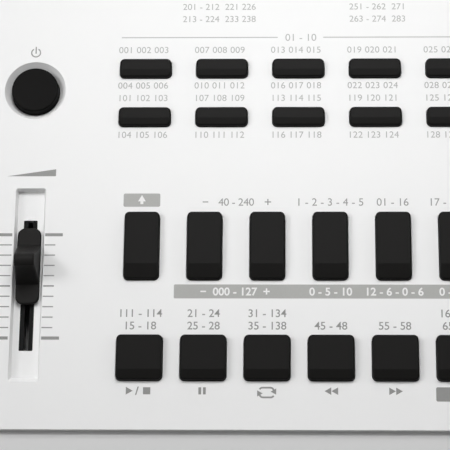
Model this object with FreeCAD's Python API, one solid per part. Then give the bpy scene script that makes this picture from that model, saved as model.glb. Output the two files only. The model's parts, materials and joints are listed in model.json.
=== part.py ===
import FreeCAD, Part
import math
import os

# Arranger keyboard with 61 keys, in millimetres: +X to the player's right, +Y to the rear, +Z up,
# origin on the table under the middle of the case.
os.makedirs("parts", exist_ok=True)
Vec = FreeCAD.Vector

# Case
CASE_WIDTH = 946.0
CASE_DEPTH = 378.0
WALL = 2.6
FOOT_HEIGHT = 5.0
PARTING_Z = 38.0
RAIL_TOP_Z = 56.0
CHEEK_FRONT_Z = 70.0
CHEEK_REAR_Z = 73.2
EDGE_CHAMFER = 2.0
HALF_W = CASE_WIDTH / 2
HALF_D = CASE_DEPTH / 2
FLOOR_Z = FOOT_HEIGHT + WALL

# Control deck: a plane that climbs to the rear, u along X, v up the slope, w off its surface
DECK_FRONT_Y = -30.0
DECK_FRONT_Z = 90.0
DECK_SLOPE = 6.0
DECK = FreeCAD.Placement(Vec(0, DECK_FRONT_Y, DECK_FRONT_Z), FreeCAD.Rotation(Vec(1, 0, 0), DECK_SLOPE))
PANEL_HALF = 275.0
PANEL_LENGTH = 200.0
PANEL_THICK = 3.0
PANEL_SEAM = 0.4
PANEL_CORNER = 1.2
FASCIA_DEPTH = 12.0
FASCIA_DROP = 1.6
FASCIA_SLOPE = 20.0
FASCIA_CREST_R = 5.0
FASCIA_GROOVE = 0.8
FASCIA_GROOVE_DEPTH = 1.2
FASCIA_FRONT_Y = -46.5
FASCIA_LOWER_Z = 66.0
LEDGE = 5.5
LEDGE_THICK = 2.6

# Buttons of the left-hand block; a size is width, length, height over the panel, front facet
BUTTON_GAP = 0.15
FLANGE_TOP = -PANEL_THICK - 0.3
FLANGE_THICK = 1.2
FLANGE_RIM = 0.9
STEM_SIZE = 3.0
STEM_END = -5.6
BLOCK_LEFT = -221.7
BLOCK_SPAN = 84.0
STYLE_SIZE = (14.1, 5.25, 1.5, 2.1)
STYLE_ROWS = (101.3, 87.0)
STYLE_COLUMNS = 5
TALL_SIZE = (9.3, 18.7, 1.8, 4.1)
TALL_ROW = 50.0
SQUARE_SIZE = (12.1, 12.1, 1.8, 2.7)
SQUARE_ROW = 19.2
ROW_COLUMNS = 6
CAP_CORNER = 1.25
FACET_ANGLE = 9.0

# Power button and volume fader, in one column
SIDE_COLUMN = -252.05
POWER_ROW = 95.1
POWER_DISH_R = 8.36
POWER_HOLE_R = 6.6
POWER_DISH_DEPTH = 2.1
POWER_R = 6.42
POWER_RIM = 0.25
POWER_CROWN = 0.7
POWER_CROWN_R = 5.95
POWER_SIDES = 40
CHANNEL_WIDTH = 8.05
CHANNEL_LENGTH = 53.65
CHANNEL_ROW = 39.65
CHANNEL_DEPTH = 2.2
CHANNEL_SIDE_DRAFT = 0.5
CHANNEL_REAR_DRAFT = 0.3
CHANNEL_FRONT_RAMP = 1.45
CHANNEL_CORNER = 0.6
CHANNEL_FLOOR = 2.0
CHANNEL_WALL = 1.8
SLOT_WIDTH = 3.7
SLOT_LENGTH = 36.4
SLOT_ROW = 39.85
SLOT_CORNER = 0.5
FADER_ROW = 44.75
FADER_BASE = (6.35, 21.3)
FADER_BASE_TOP = -0.4
FADER_BASE_LOW = -1.8
FADER_BASE_CORNER = 2.1
FADER_FIN_TOP = 9.1
FADER_FIN_V = (-5.3, 5.7)
FADER_FIN_CREST = -0.85
FADER_FIN_RIDGE = 3.4
FADER_FIN_HOLLOW = 0.55
FADER_FIN_CROWN = 0.9
FADER_FIN_WIDTH = 5.2
LEVER_SIZE = (1.2, 4.0)
LEVER_END = -9.4

# Right-hand block, display and boards
VOICE_LEFT = 137.6
KEYPAD_ROWS = (40.2, 19.2)
DISPLAY_CENTRE = (-30.0, 104.0)
DISPLAY_SIZE = (124.0, 46.0)
DISPLAY_LIP = 4.0
WINDOW_THICK = 1.6
BOARD_TOP = -10.4
BOARD_THICK = 1.6
SWITCH_TOP = -6.9
SWITCH_SIZE = 6.0
BOARD_V = (6.0, 112.0)
LEFT_BOARD_X = (-266.0, -128.0)
RIGHT_BOARD_X = (128.0, 266.0)
BOSS_SIZE = 4.0
BOSS_ROWS = (8.5, 109.5)

# Keys
WHITE_PITCH = 23.5
WHITE_COUNT = 36
KEY_GAP = 1.0
KEYS_LEFT = -WHITE_PITCH * WHITE_COUNT / 2
OCTAVE = 7 * WHITE_PITCH
OCTAVES = 5
KEY_FRONT_Y = -174.6
KEY_TAIL_Y = -40.0
WHITE_TOP_Z = 62.0
WHITE_SKIRT_Z = 48.0
WHITE_LIP = 2.5
WHITE_LIP_Z = 56.5
BLACK_TOP_Z = 74.0
BLACK_LOW_Z = 52.0
BLACK_FRONT_Y = -132.0
BLACK_REAR_Y = -47.6
BLACK_LOW_WIDTH = 10.0
BLACK_TOP_WIDTH = 8.6
BLACK_NOSE = 8.0
BLACK_CHAMFER = 1.0
BLACK_GAP = 1.2
BLACK_NOTCH = 2.0
BLACK_AFTER = {0: -1.6, 1: 1.6, 3: -2.4, 4: 0.0, 5: 2.4}
PLUNGER_Y = (-104.0, -96.0)
KEY_ANGLE = 3.6
DOME_CLEARANCE = 0.4
ARM_WIDTH = 6.0
BAR_R = 2.5
BAR_TIP_ANGLE = 78.0
BAR_PLAY = 0.06
BAR_END_GAP = 0.6
SUPPORT_HALF = 4.0
# Each comb turns on a bar behind the keys: bar centre (y, z), and the heights its arms run at
COMB_AXES = {"cegb": (-20.0, 42.0), "dfa": (-10.0, 47.0), "sharp": (0.0, 52.0)}
COMB_ARM_Z = {"cegb": (45.0, 50.0), "dfa": (50.0, 55.0), "sharp": (56.0, 60.0)}
CHASSIS_Z = 16.0
CHASSIS_THICK = 2.5
CONTACT_BOARD_Z = 24.0
CONTACT_BOARD_Y = (-125.0, -72.0)
DOME_TOP_Z = 31.6
STOP_Y = (-172.0, -168.0)
STOP_Z = 35.4
FELT_THICK = 2.0

# Main board headers and the flat cables from them
HEADER_X = 148.0
HEADER_Y = 96.0
HEADER_HEIGHT = 7.0
CABLE_WIDTH = 24.0
CABLE_THICK = 1.0
CABLE_V = 60.0

# Speakers
SPEAKER_X = 372.0
SPEAKER_V = 100.0
GRILLE_SIZE = (160.0, 132.0)
GRILLE_FLANGE = 3.0
GRILLE_BASE = (-5.0, -2.6)
GRILLE_SINK = 0.3
GRILLE_PLAY = 0.3
GRILLE_SLOTS = 12
GRILLE_SLOT_WIDTH = 4.5
DRIVER_R = 58.0
DRIVER_SIDES = 16

# Rear connectors: plate in the rear wall, sockets from left to right
PLATE_X = (-120.0, 40.0)
PLATE_Z = (11.0, 31.0)
PLATE_PLAY = 0.2
PLATE_FLANGE = 2.4
PLATE_FLANGE_THICK = 2.0
SOCKET_Z = 21.0
JACK_BORE_R = 3.25
JACK_DEPTH = 18.0
JACKS_X = (-20.0, 15.0)
DC_X = -100.0
DC_BORE_R = 3.1
DC_PIN_R = 1.0
USB_X = -62.0
SMALL_DEPTH = 9.0

# Screws, the posts they sit in, and feet
POST = 9.0
BOSS_HEIGHT = 16.0
SCREW_X = HALF_W - WALL - POST / 2
SCREW_Y = HALF_D - WALL - POST / 2
SCREW_PLACES = [(sx * SCREW_X, y) for sx in (-1, 1) for y in (-165.0, 10.0, 168.0)]
SCREW_PLACES += [(-190.0, SCREW_Y), (190.0, SCREW_Y)]
SCREW_HEAD_R = 2.9
SCREW_SHANK_R = 1.5
SCREW_SINK_R = 3.8
SCREW_SINK = 3.0
SCREW_HEAD_HEIGHT = 1.8
SCREW_BITE = 8.0
FOOT_SIZE = (34.0, 16.0)
FOOT_CORNER = 5.0
FOOT_PLACES = [(-400.0, -155.0), (400.0, -155.0), (-400.0, 150.0), (400.0, 150.0), (0.0, -155.0)]


# Corners of a rectangle, anticlockwise from the front left
CORNER_SIGNS = ((-1, -1), (1, -1), (1, 1), (-1, 1))


def save(shape, name):
    shape.exportStep("parts/%s.step" % name)


def box(x, y, z):
    return Part.makeBox(x[1] - x[0], y[1] - y[0], z[1] - z[0], Vec(x[0], y[0], z[0]))


def centred(cx, cy, lx, ly, z):
    return box((cx - lx / 2, cx + lx / 2), (cy - ly / 2, cy + ly / 2), z)


def joined(shapes):
    return shapes[0].multiFuse(shapes[1:]).removeSplitter()


def on_deck(shape):
    shape.Placement = DECK.multiply(shape.Placement)
    return shape


def deck_point(v, w):
    p = DECK.multVec(Vec(0, v, w))
    return p.y, p.z


def round_outline(corners, place):
    """Closed wire through (a, b, radius) corners; place(a, b) gives each point in space."""
    bends = []
    for i, (a, b, radius) in enumerate(corners):
        here = Vec(a, b, 0)
        before = (Vec(*corners[i - 1][:2], 0) - here).normalize()
        after = (Vec(*corners[(i + 1) % len(corners)][:2], 0) - here).normalize()
        half = before.getAngle(after) / 2
        run = radius / math.tan(half)
        middle = here
        if radius:
            middle = here + (before + after).normalize() * (radius / math.sin(half) - radius)
        bends.append([place(p.x, p.y) for p in (here + before * run, middle, here + after * run)])
    edges = []
    for i, (start, middle, end) in enumerate(bends):
        if corners[i][2]:
            edges.append(Part.Arc(start, middle, end).toShape())
        following = bends[(i + 1) % len(bends)][0]
        if following.distanceToPoint(end) > 1e-6:
            edges.append(Part.LineSegment(end, following).toShape())
    return Part.Wire(edges)


def side_prism(corners, x):
    """Solid with a (y, z, radius) side outline, running along X."""
    wire = round_outline(corners, lambda y, z: Vec(x[0], y, z))
    return Part.Face(wire).extrude(Vec(x[1] - x[0], 0, 0))


def round_plate(cx, cy, lx, ly, radius, z):
    corners = [(cx + sx * lx / 2, cy + sy * ly / 2, radius) for sx, sy in CORNER_SIGNS]
    wire = round_outline(corners, lambda x, y: Vec(x, y, z[0]))
    return Part.Face(wire).extrude(Vec(0, 0, z[1] - z[0]))


def cut_plate(cx, cy, lx, ly, corner, z):
    """Plate whose corners are cut at 45 degrees, each cut touching a round corner of that radius."""
    leg = (2 - math.sqrt(2)) * corner
    points = []
    for sx, sy in CORNER_SIGNS:
        ends = [(sx * (lx / 2 - leg), sy * ly / 2), (sx * lx / 2, sy * (ly / 2 - leg))]
        points += ends if sx == sy * -1 else ends[::-1]
    ring = [Vec(cx + x, cy + y, z[0]) for x, y in points]
    return Part.Face(Part.makePolygon(ring + ring[:1])).extrude(Vec(0, 0, z[1] - z[0]))


def stacked(rings):
    """Flat-faced solid through rings of points, anticlockwise seen from above, from the bottom up."""
    loops = [rings[0][::-1], rings[-1]]
    for low, high in zip(rings, rings[1:]):
        for i in range(len(low)):
            loops.append([low[i - 1], low[i], high[i], high[i - 1]])
    shell = Part.makeShell([Part.Face(Part.makePolygon(loop + loop[:1])) for loop in loops])
    shell.sewShape()
    return Part.Solid(shell)


def many_sided(rings, centre, sides):
    """Flat-sided turning, (radius, height) from the bottom up."""
    turns = [2 * math.pi * i / sides for i in range(sides)]
    loops = []
    for r, z in rings:
        loops.append([Vec(centre[0] + r * math.cos(a), centre[1] + r * math.sin(a), z) for a in turns])
    return stacked(loops)


def turned(corners, centre):
    """Solid of revolution about a vertical line, from (r, z) corners."""
    points = [Vec(centre[0] + r, centre[1], z) for r, z in corners]
    face = Part.Face(Part.makePolygon(points + points[:1]))
    return face.revolve(Vec(centre[0], centre[1], 0), Vec(0, 0, 1), 360)


def pair(columns, rows):
    return [(x, v) for v in rows for x in columns]


def spread(left, count):
    return [left + BLOCK_SPAN * i / (count - 1) for i in range(count)]


STYLE_PLACES = pair(spread(BLOCK_LEFT, STYLE_COLUMNS), STYLE_ROWS)
TALL_PLACES = pair(spread(BLOCK_LEFT, ROW_COLUMNS), (TALL_ROW,))
SQUARE_PLACES = pair(spread(BLOCK_LEFT, ROW_COLUMNS), (SQUARE_ROW,))
VOICE_PLACES = pair(spread(VOICE_LEFT, STYLE_COLUMNS), STYLE_ROWS)
KEYPAD_PLACES = pair(spread(VOICE_LEFT, ROW_COLUMNS), KEYPAD_ROWS)
LEFT_GROUPS = [(STYLE_PLACES, STYLE_SIZE), (TALL_PLACES, TALL_SIZE), (SQUARE_PLACES, SQUARE_SIZE)]
RIGHT_GROUPS = [(VOICE_PLACES, STYLE_SIZE), (KEYPAD_PLACES, SQUARE_SIZE)]


# Case shells
def upper_outline(inset):
    """Side outline of the upper shell, moved in by a wall thickness."""
    top = -inset
    front = HALF_D - inset
    fascia_y = FASCIA_FRONT_Y + inset
    fall = math.tan(math.radians(FASCIA_SLOPE))
    fascia_w = -FASCIA_DROP - inset / math.cos(math.radians(FASCIA_SLOPE))
    crest_v = -FASCIA_DEPTH + inset
    crest = deck_point(crest_v, fascia_w + crest_v * fall)
    brow = [deck_point(0, fascia_w), deck_point(0, top)]
    if inset:
        brow = [deck_point((top - fascia_w) / fall, top)]
    rear_v = (front - DECK_FRONT_Y) / math.cos(math.radians(DECK_SLOPE))
    low = PARTING_Z - inset
    return [
        (-front, low, 0),
        (-front, CHEEK_FRONT_Z - inset, 10.0 - inset),
        (fascia_y, CHEEK_REAR_Z - inset, 0),
        (crest[0], crest[1], FASCIA_CREST_R - inset),
    ] + [(y, z, 0) for y, z in brow] + [
        (front, deck_point(rear_v, top)[1], 12.0 - inset),
        (front, low, 0),
    ]


def upper_case():
    outer = side_prism(upper_outline(0), (-HALF_W, HALF_W))
    ends = [e for e in outer.Edges if abs(abs(e.BoundBox.Center.x) - HALF_W) < 0.01]
    rim = [e for e in ends if e.BoundBox.ZMax > PARTING_Z + 0.1]
    outer = outer.makeChamfer(EDGE_CHAMFER, rim)
    hollow = side_prism(upper_outline(WALL), (-HALF_W + WALL, HALF_W - WALL))
    key_half = -KEYS_LEFT + KEY_GAP
    cheek_inner = key_half + WALL
    hollow = hollow.cut(box((-cheek_inner, cheek_inner), (-HALF_D, FASCIA_FRONT_Y + WALL), (0, 200)))
    ledge_depth = PANEL_THICK + LEDGE_THICK
    ledge_x = PANEL_HALF + PANEL_SEAM + WALL
    ledge_v = (-FASCIA_DEPTH + WALL, PANEL_LENGTH + PANEL_SEAM + WALL)
    hollow = hollow.cut(on_deck(box((-ledge_x, ledge_x), ledge_v, (-ledge_depth, 0))))
    shell = outer.cut(hollow)
    key_well = box((-key_half, key_half), (-HALF_D - 1, FASCIA_FRONT_Y), (0, 200))
    under_fascia = box((-key_half, key_half), (-HALF_D, FASCIA_FRONT_Y + WALL + 0.1), (0, FASCIA_LOWER_Z))
    groove_low = -FASCIA_DROP - FASCIA_GROOVE_DEPTH
    groove = on_deck(box((-HALF_W - 1, HALF_W + 1), (-FASCIA_GROOVE, 0), (groove_low, 20)))
    seat_x = PANEL_HALF + PANEL_SEAM
    seat = on_deck(box((-seat_x, seat_x), (-FASCIA_GROOVE, PANEL_LENGTH + PANEL_SEAM), (-PANEL_THICK, 20)))
    well_x = PANEL_HALF - LEDGE
    well = on_deck(box((-well_x, well_x), (LEDGE, PANEL_LENGTH - LEDGE), (-40, 20)))
    cuts = [key_well, under_fascia, groove, seat, well]
    for sx in (-1, 1):
        cuts.append(on_deck(centred(sx * SPEAKER_X, SPEAKER_V, GRILLE_SIZE[0], GRILLE_SIZE[1], (-20, 20))))
    shell = shell.cut(cuts)
    bosses = [centred(x, y, POST, POST, (PARTING_Z, PARTING_Z + BOSS_HEIGHT)) for x, y in SCREW_PLACES]
    return joined([shell] + bosses)


def lower_case():
    outer = box((-HALF_W, HALF_W), (-HALF_D, HALF_D), (FOOT_HEIGHT, PARTING_Z))
    corners = [e for e in outer.Edges if e.BoundBox.ZLength > 1]
    outer = outer.makeChamfer(EDGE_CHAMFER, corners)
    under = [e for e in outer.Edges if e.BoundBox.ZMax < FOOT_HEIGHT + 0.1]
    outer = outer.makeChamfer(EDGE_CHAMFER, under)
    inner_x = HALF_W - WALL
    inner_y = HALF_D - WALL
    tray = outer.cut(box((-inner_x, inner_x), (-inner_y, inner_y), (FLOOR_Z, PARTING_Z + 1)))
    rail_x = -KEYS_LEFT + KEY_GAP - 0.3
    rail_back = KEY_FRONT_Y - 1.9
    rail = side_prism([
        (-HALF_D, PARTING_Z - 6, 0),
        (-HALF_D, RAIL_TOP_Z, 4.0),
        (rail_back, RAIL_TOP_Z, 1.5),
        (rail_back, RAIL_TOP_Z - 14, 0),
        (rail_back - WALL, RAIL_TOP_Z - 14, 0),
        (rail_back - WALL, RAIL_TOP_Z - WALL, 0),
        (-inner_y, RAIL_TOP_Z - WALL, 0),
        (-inner_y, PARTING_Z - 6, 0),
    ], (-rail_x, rail_x))
    ribs = [box((-440, 440), (y, y + WALL), (FLOOR_Z, CHASSIS_Z)) for y in (-150.0, -25.0)]
    posts = [centred(x, y, POST, POST, (FLOOR_Z, PARTING_Z)) for x, y in SCREW_PLACES]
    posts += [centred(x, y, 6, 6, (FLOOR_Z, CHASSIS_Z)) for x in (-160, 160) for y in (86, 158)]
    case = joined([tray, rail] + ribs + posts)
    sink = [(SCREW_SINK_R, FOOT_HEIGHT), (SCREW_SINK_R, FOOT_HEIGHT + SCREW_SINK)]
    heads = [many_sided(sink, place, 8) for place in SCREW_PLACES]
    window = box((PLATE_X[0], PLATE_X[1]), (inner_y - 1, HALF_D + 1), PLATE_Z)
    return case.cut(heads + [window])


def case_screws():
    seat = FOOT_HEIGHT + SCREW_SINK
    low = seat - SCREW_HEAD_HEIGHT
    screws = []
    for place in SCREW_PLACES:
        head = many_sided([(SCREW_HEAD_R, low), (SCREW_HEAD_R, seat)], place, 8)
        shank = many_sided([(SCREW_SHANK_R, seat), (SCREW_SHANK_R, PARTING_Z + SCREW_BITE)], place, 6)
        screws.append(joined([head, shank]))
    return Part.makeCompound(screws)


def rubber_feet():
    feet = []
    for x, y in FOOT_PLACES:
        foot = cut_plate(x, y, FOOT_SIZE[0], FOOT_SIZE[1], FOOT_CORNER, (0, FOOT_HEIGHT))
        sole = [e for e in foot.Edges if e.BoundBox.ZMax < 0.1]
        feet.append(foot.makeChamfer(1.0, sole))
    return Part.makeCompound(feet)


# Control panel and what shows in it
def channel_hollow():
    """Sunk channel of the fader: straight rear end, ramp at the front."""
    top_x, top_v = CHANNEL_WIDTH / 2, CHANNEL_LENGTH / 2
    low_x = top_x - CHANNEL_SIDE_DRAFT
    rows = []
    for x, front, rear, w in (
        (low_x, -top_v + CHANNEL_FRONT_RAMP, top_v - CHANNEL_REAR_DRAFT, -CHANNEL_DEPTH),
        (top_x, -top_v, top_v, 0),
    ):
        ends = ((-x, front), (x, front), (x, rear), (-x, rear))
        rows.append([Vec(SIDE_COLUMN + a, CHANNEL_ROW + b, w) for a, b in ends])
    hollow = stacked(rows)
    corners = [e for e in hollow.Edges if e.BoundBox.ZLength > 1]
    return hollow.makeFillet(CHANNEL_CORNER, corners)


def control_panel():
    plate = box((-PANEL_HALF, PANEL_HALF), (0, PANEL_LENGTH), (-PANEL_THICK, 0))
    upright = [e for e in plate.Edges if e.BoundBox.ZLength > 1]
    plate = plate.makeChamfer(PANEL_CORNER, upright)
    tub_rim = 2 * CHANNEL_WALL
    tub = centred(SIDE_COLUMN, CHANNEL_ROW, CHANNEL_WIDTH + tub_rim, CHANNEL_LENGTH + tub_rim,
                  (-CHANNEL_DEPTH - CHANNEL_FLOOR, -PANEL_THICK))
    bosses = []
    for board in (LEFT_BOARD_X, RIGHT_BOARD_X):
        for x, v in pair((board[0] + 3, board[1] - 3), BOSS_ROWS):
            bosses.append(centred(x, v, BOSS_SIZE, BOSS_SIZE, (BOARD_TOP, -PANEL_THICK)))
    panel = joined([plate, tub] + bosses)
    through = (-PANEL_THICK - 1, 1)
    cuts = [channel_hollow()]
    cuts.append(cut_plate(SIDE_COLUMN, SLOT_ROW, SLOT_WIDTH, SLOT_LENGTH, SLOT_CORNER, (-9, 0)))
    dish = [(0, 0), (POWER_DISH_R, 0), (POWER_HOLE_R, -POWER_DISH_DEPTH), (POWER_HOLE_R, -4), (0, -4)]
    cuts.append(turned(dish, (SIDE_COLUMN, POWER_ROW)))
    for places, size in LEFT_GROUPS + RIGHT_GROUPS:
        for x, v in places:
            hole = (size[0] + 2 * BUTTON_GAP, size[1] + 2 * BUTTON_GAP)
            cuts.append(cut_plate(x, v, hole[0], hole[1], CAP_CORNER + BUTTON_GAP, through))
    dx, dv = DISPLAY_CENTRE
    wide, deep = DISPLAY_SIZE
    lip = 2 * DISPLAY_LIP
    cuts.append(centred(dx, dv, wide + lip, deep + lip, (-WINDOW_THICK, 1)))
    cuts.append(centred(dx, dv, wide, deep, through))
    return on_deck(panel.cut(cuts))


def cap(x, v, size):
    """Button cap with eased corners and a facet that falls to the front."""
    lx, lv, height, facet = size
    front, rear = v - lv / 2, v + lv / 2
    drop = facet * math.tan(math.radians(FACET_ANGLE))
    side = [
        (front, FLANGE_TOP, 0),
        (rear, FLANGE_TOP, 0),
        (rear, height, 0),
        (front + facet, height, 0),
        (front, height - drop, 0),
    ]
    block = side_prism(side, (x - lx / 2, x + lx / 2))
    return block.common(cut_plate(x, v, lx, lv, CAP_CORNER, (FLANGE_TOP, height)))


def stem(x, v):
    return centred(x, v, STEM_SIZE, STEM_SIZE, (STEM_END, FLANGE_TOP - FLANGE_THICK))


def push_button(x, v, size):
    rim = 2 * FLANGE_RIM
    flange = centred(x, v, size[0] + rim, size[1] + rim, (FLANGE_TOP - FLANGE_THICK, FLANGE_TOP))
    return on_deck(joined([cap(x, v, size), flange, stem(x, v)]))


def button_strip(places, size):
    """Caps of one group, moulded on a common web under the panel."""
    xs = [x for x, v in places]
    vs = [v for x, v in places]
    margin_x, margin_v = size[0] / 2 + FLANGE_RIM, size[1] / 2 + FLANGE_RIM
    web = box((min(xs) - margin_x, max(xs) + margin_x), (min(vs) - margin_v, max(vs) + margin_v),
              (FLANGE_TOP - FLANGE_THICK, FLANGE_TOP))
    caps = []
    for x, v in places:
        caps.append(cap(x, v, size))
        caps.append(stem(x, v))
    return on_deck(joined([web] + caps))


def power_button():
    place = (SIDE_COLUMN, POWER_ROW)
    width = 2 * (POWER_HOLE_R + FLANGE_RIM)
    flange = centred(place[0], place[1], width, width, (FLANGE_TOP - FLANGE_THICK, FLANGE_TOP))
    rings = [(POWER_R, FLANGE_TOP), (POWER_R, POWER_RIM), (POWER_CROWN_R, POWER_CROWN)]
    crown = many_sided(rings, place, POWER_SIDES)
    return on_deck(joined([crown, flange, stem(place[0], place[1])]))


def volume_fader():
    """Fader cap: a low base with a finger fin, hollow in front, on the lever of the slide pot."""
    base_x, base_v = FADER_BASE
    base_w = (FADER_BASE_LOW, FADER_BASE_TOP)
    base = round_plate(SIDE_COLUMN, FADER_ROW, base_x, base_v, FADER_BASE_CORNER, base_w)
    front, rear = FADER_FIN_V
    sunk = FADER_BASE_TOP - 1
    shoulder = FADER_FIN_TOP - FADER_FIN_CROWN
    waist = (FADER_BASE_TOP + shoulder) / 2
    ridge_front = FADER_FIN_CREST - FADER_FIN_RIDGE / 2
    ridge_rear = FADER_FIN_CREST + FADER_FIN_RIDGE / 2
    waist_front = (front + ridge_front) / 2 + FADER_FIN_HOLLOW

    def at(v, w):
        return Vec(SIDE_COLUMN - base_x / 2, FADER_ROW + v, w)

    crest = at(FADER_FIN_CREST, FADER_FIN_TOP)
    edges = [
        Part.LineSegment(at(front, sunk), at(rear, sunk)).toShape(),
        Part.LineSegment(at(rear, sunk), at(rear, FADER_BASE_TOP)).toShape(),
        Part.LineSegment(at(rear, FADER_BASE_TOP), at(ridge_rear, shoulder)).toShape(),
        Part.Arc(at(ridge_rear, shoulder), crest, at(ridge_front, shoulder)).toShape(),
        Part.Arc(at(ridge_front, shoulder), at(waist_front, waist), at(front, FADER_BASE_TOP)).toShape(),
        Part.LineSegment(at(front, FADER_BASE_TOP), at(front, sunk)).toShape(),
    ]
    fin = Part.Face(Part.Wire(edges)).extrude(Vec(base_x, 0, 0))
    taper = [(base_x / 2, sunk), (base_x / 2, FADER_BASE_TOP), (FADER_FIN_WIDTH / 2, FADER_FIN_TOP + 1)]
    outline = [Vec(SIDE_COLUMN + x, FADER_ROW + front, w) for x, w in taper]
    outline += [Vec(SIDE_COLUMN - x, FADER_ROW + front, w) for x, w in reversed(taper)]
    fin = fin.common(Part.Face(Part.makePolygon(outline + outline[:1])).extrude(Vec(0, rear - front, 0)))
    lever = centred(SIDE_COLUMN, FADER_ROW, LEVER_SIZE[0], LEVER_SIZE[1], (LEVER_END, FADER_BASE_LOW + 0.5))
    return on_deck(joined([base, fin, lever]))


def volume_slide_pot():
    body = centred(SIDE_COLUMN, SLOT_ROW, 9, 46, (BOARD_TOP, -CHANNEL_DEPTH - CHANNEL_FLOOR - 0.2))
    track = centred(SIDE_COLUMN, SLOT_ROW, LEVER_SIZE[0] + 1.0, SLOT_LENGTH, (LEVER_END - 0.4, 0))
    return on_deck(body.cut(track))


def panel_boards():
    boards = []
    groups = ((LEFT_BOARD_X, LEFT_GROUPS), (RIGHT_BOARD_X, RIGHT_GROUPS))
    for x, sets in groups:
        blocks = [box(x, BOARD_V, (BOARD_TOP - BOARD_THICK, BOARD_TOP))]
        for place in [p for places, size in sets for p in places]:
            blocks.append(centred(place[0], place[1], SWITCH_SIZE, SWITCH_SIZE, (BOARD_TOP, SWITCH_TOP)))
        if x == LEFT_BOARD_X:
            blocks.append(centred(SIDE_COLUMN, POWER_ROW, 10, 10, (BOARD_TOP, STEM_END - 2.4)))
        boards += blocks
    return on_deck(Part.makeCompound(boards))


def display_window():
    lip = 2 * DISPLAY_LIP - 2 * BUTTON_GAP
    dx, dv = DISPLAY_CENTRE
    return on_deck(centred(dx, dv, DISPLAY_SIZE[0] + lip, DISPLAY_SIZE[1] + lip, (-WINDOW_THICK, 0)))


def display_module():
    dx, dv = DISPLAY_CENTRE
    glass = centred(dx, dv, DISPLAY_SIZE[0] - 1, DISPLAY_SIZE[1] - 1, (-PANEL_THICK, -WINDOW_THICK - 0.2))
    carrier = centred(dx, dv, DISPLAY_SIZE[0] + 10, DISPLAY_SIZE[1] + 10, (-PANEL_THICK - 7, -PANEL_THICK))
    return on_deck(joined([glass, carrier]))


# Keyboard
def octave_left(octave):
    return KEYS_LEFT + OCTAVE * octave


def black_centre(octave, step):
    return octave_left(octave) + (step + 1) * WHITE_PITCH + BLACK_AFTER[step]


def plunger(centre, width, bar_y, top):
    """Peg that meets the rubber dome when the key is down."""
    drop = (bar_y - PLUNGER_Y[0]) * math.sin(math.radians(KEY_ANGLE))
    low = DOME_TOP_Z + DOME_CLEARANCE + drop
    return box((centre - width / 2, centre + width / 2), PLUNGER_Y, (low, top))


def white_key(octave, step, arm_z, bar_y):
    """One natural: lipped front, tail between the sharps, plunger and arm to the bar."""
    left = octave_left(octave) + step * WHITE_PITCH + KEY_GAP / 2
    right = left + WHITE_PITCH - KEY_GAP
    reach = BLACK_LOW_WIDTH / 2 + BLACK_GAP
    top_c = octave == OCTAVES
    tail_left = black_centre(octave, step - 1) + reach if step - 1 in BLACK_AFTER else left
    tail_right = black_centre(octave, step) - reach if step in BLACK_AFTER and not top_c else right
    notch_y = BLACK_FRONT_Y - BLACK_NOTCH
    head = box((left, right), (KEY_FRONT_Y, notch_y), (WHITE_SKIRT_Z, WHITE_TOP_Z))
    lip = box((left, right), (KEY_FRONT_Y, KEY_FRONT_Y + WHITE_LIP), (WHITE_SKIRT_Z, WHITE_LIP_Z))
    tail = box((tail_left, tail_right), (notch_y, KEY_TAIL_Y), (WHITE_SKIRT_Z, WHITE_TOP_Z))
    middle = (tail_left + tail_right) / 2
    arm = box((middle - ARM_WIDTH / 2, middle + ARM_WIDTH / 2), (KEY_TAIL_Y - 5, bar_y + BAR_R), arm_z)
    return [head.cut(lip), tail, plunger(middle, 8.0, bar_y, WHITE_SKIRT_Z), arm]


def black_key(octave, step, arm_z, bar_y):
    """One sharp: tapered body with a raked nose, plunger and arm to the bar."""
    centre = black_centre(octave, step)
    rows = []
    for half, front, z in (
        (BLACK_LOW_WIDTH / 2, BLACK_FRONT_Y, BLACK_LOW_Z),
        (BLACK_TOP_WIDTH / 2, BLACK_FRONT_Y + BLACK_NOSE, BLACK_TOP_Z),
    ):
        ends = ((-half, front), (half, front), (half, BLACK_REAR_Y), (-half, BLACK_REAR_Y))
        rows.append([Vec(centre + x, y, z) for x, y in ends])
    body = stacked(rows)
    crown = [e for e in body.Edges if e.BoundBox.ZMin > BLACK_TOP_Z - 0.1]
    body = body.makeChamfer(BLACK_CHAMFER, crown)
    arm = box((centre - ARM_WIDTH / 2, centre + ARM_WIDTH / 2), (BLACK_REAR_Y - 3, bar_y + BAR_R), arm_z)
    return [body, plunger(centre, 6.0, bar_y, BLACK_LOW_Z), arm]


def supports():
    """X ranges of the chassis uprights: one at each octave joint, half ones at the ends."""
    spans = [(KEYS_LEFT, KEYS_LEFT + SUPPORT_HALF)]
    spans += [(octave_left(k) - SUPPORT_HALF, octave_left(k) + SUPPORT_HALF) for k in range(1, OCTAVES + 1)]
    return spans + [(-KEYS_LEFT - SUPPORT_HALF, -KEYS_LEFT)]


def comb_bar(kind, octave, with_top_c):
    """Bar that joins the keys of a comb: a rounded knife edge that turns in the notched uprights."""
    y, z = COMB_AXES[kind]
    top = COMB_ARM_Z[kind][0] + 1
    start = octave_left(octave) + BAR_END_GAP
    end = (-KEYS_LEFT if with_top_c else octave_left(octave + 1)) - BAR_END_GAP
    half = math.radians(BAR_TIP_ANGLE / 2)
    tip = z - BAR_R / math.sin(half)
    knee = tip + BAR_R / math.tan(half)
    outline = [
        (y - BAR_R, top, 0),
        (y - BAR_R, knee, 0),
        (y, tip, BAR_R),
        (y + BAR_R, knee, 0),
        (y + BAR_R, top, 0),
    ]
    return side_prism(outline, (start, end))


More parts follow.
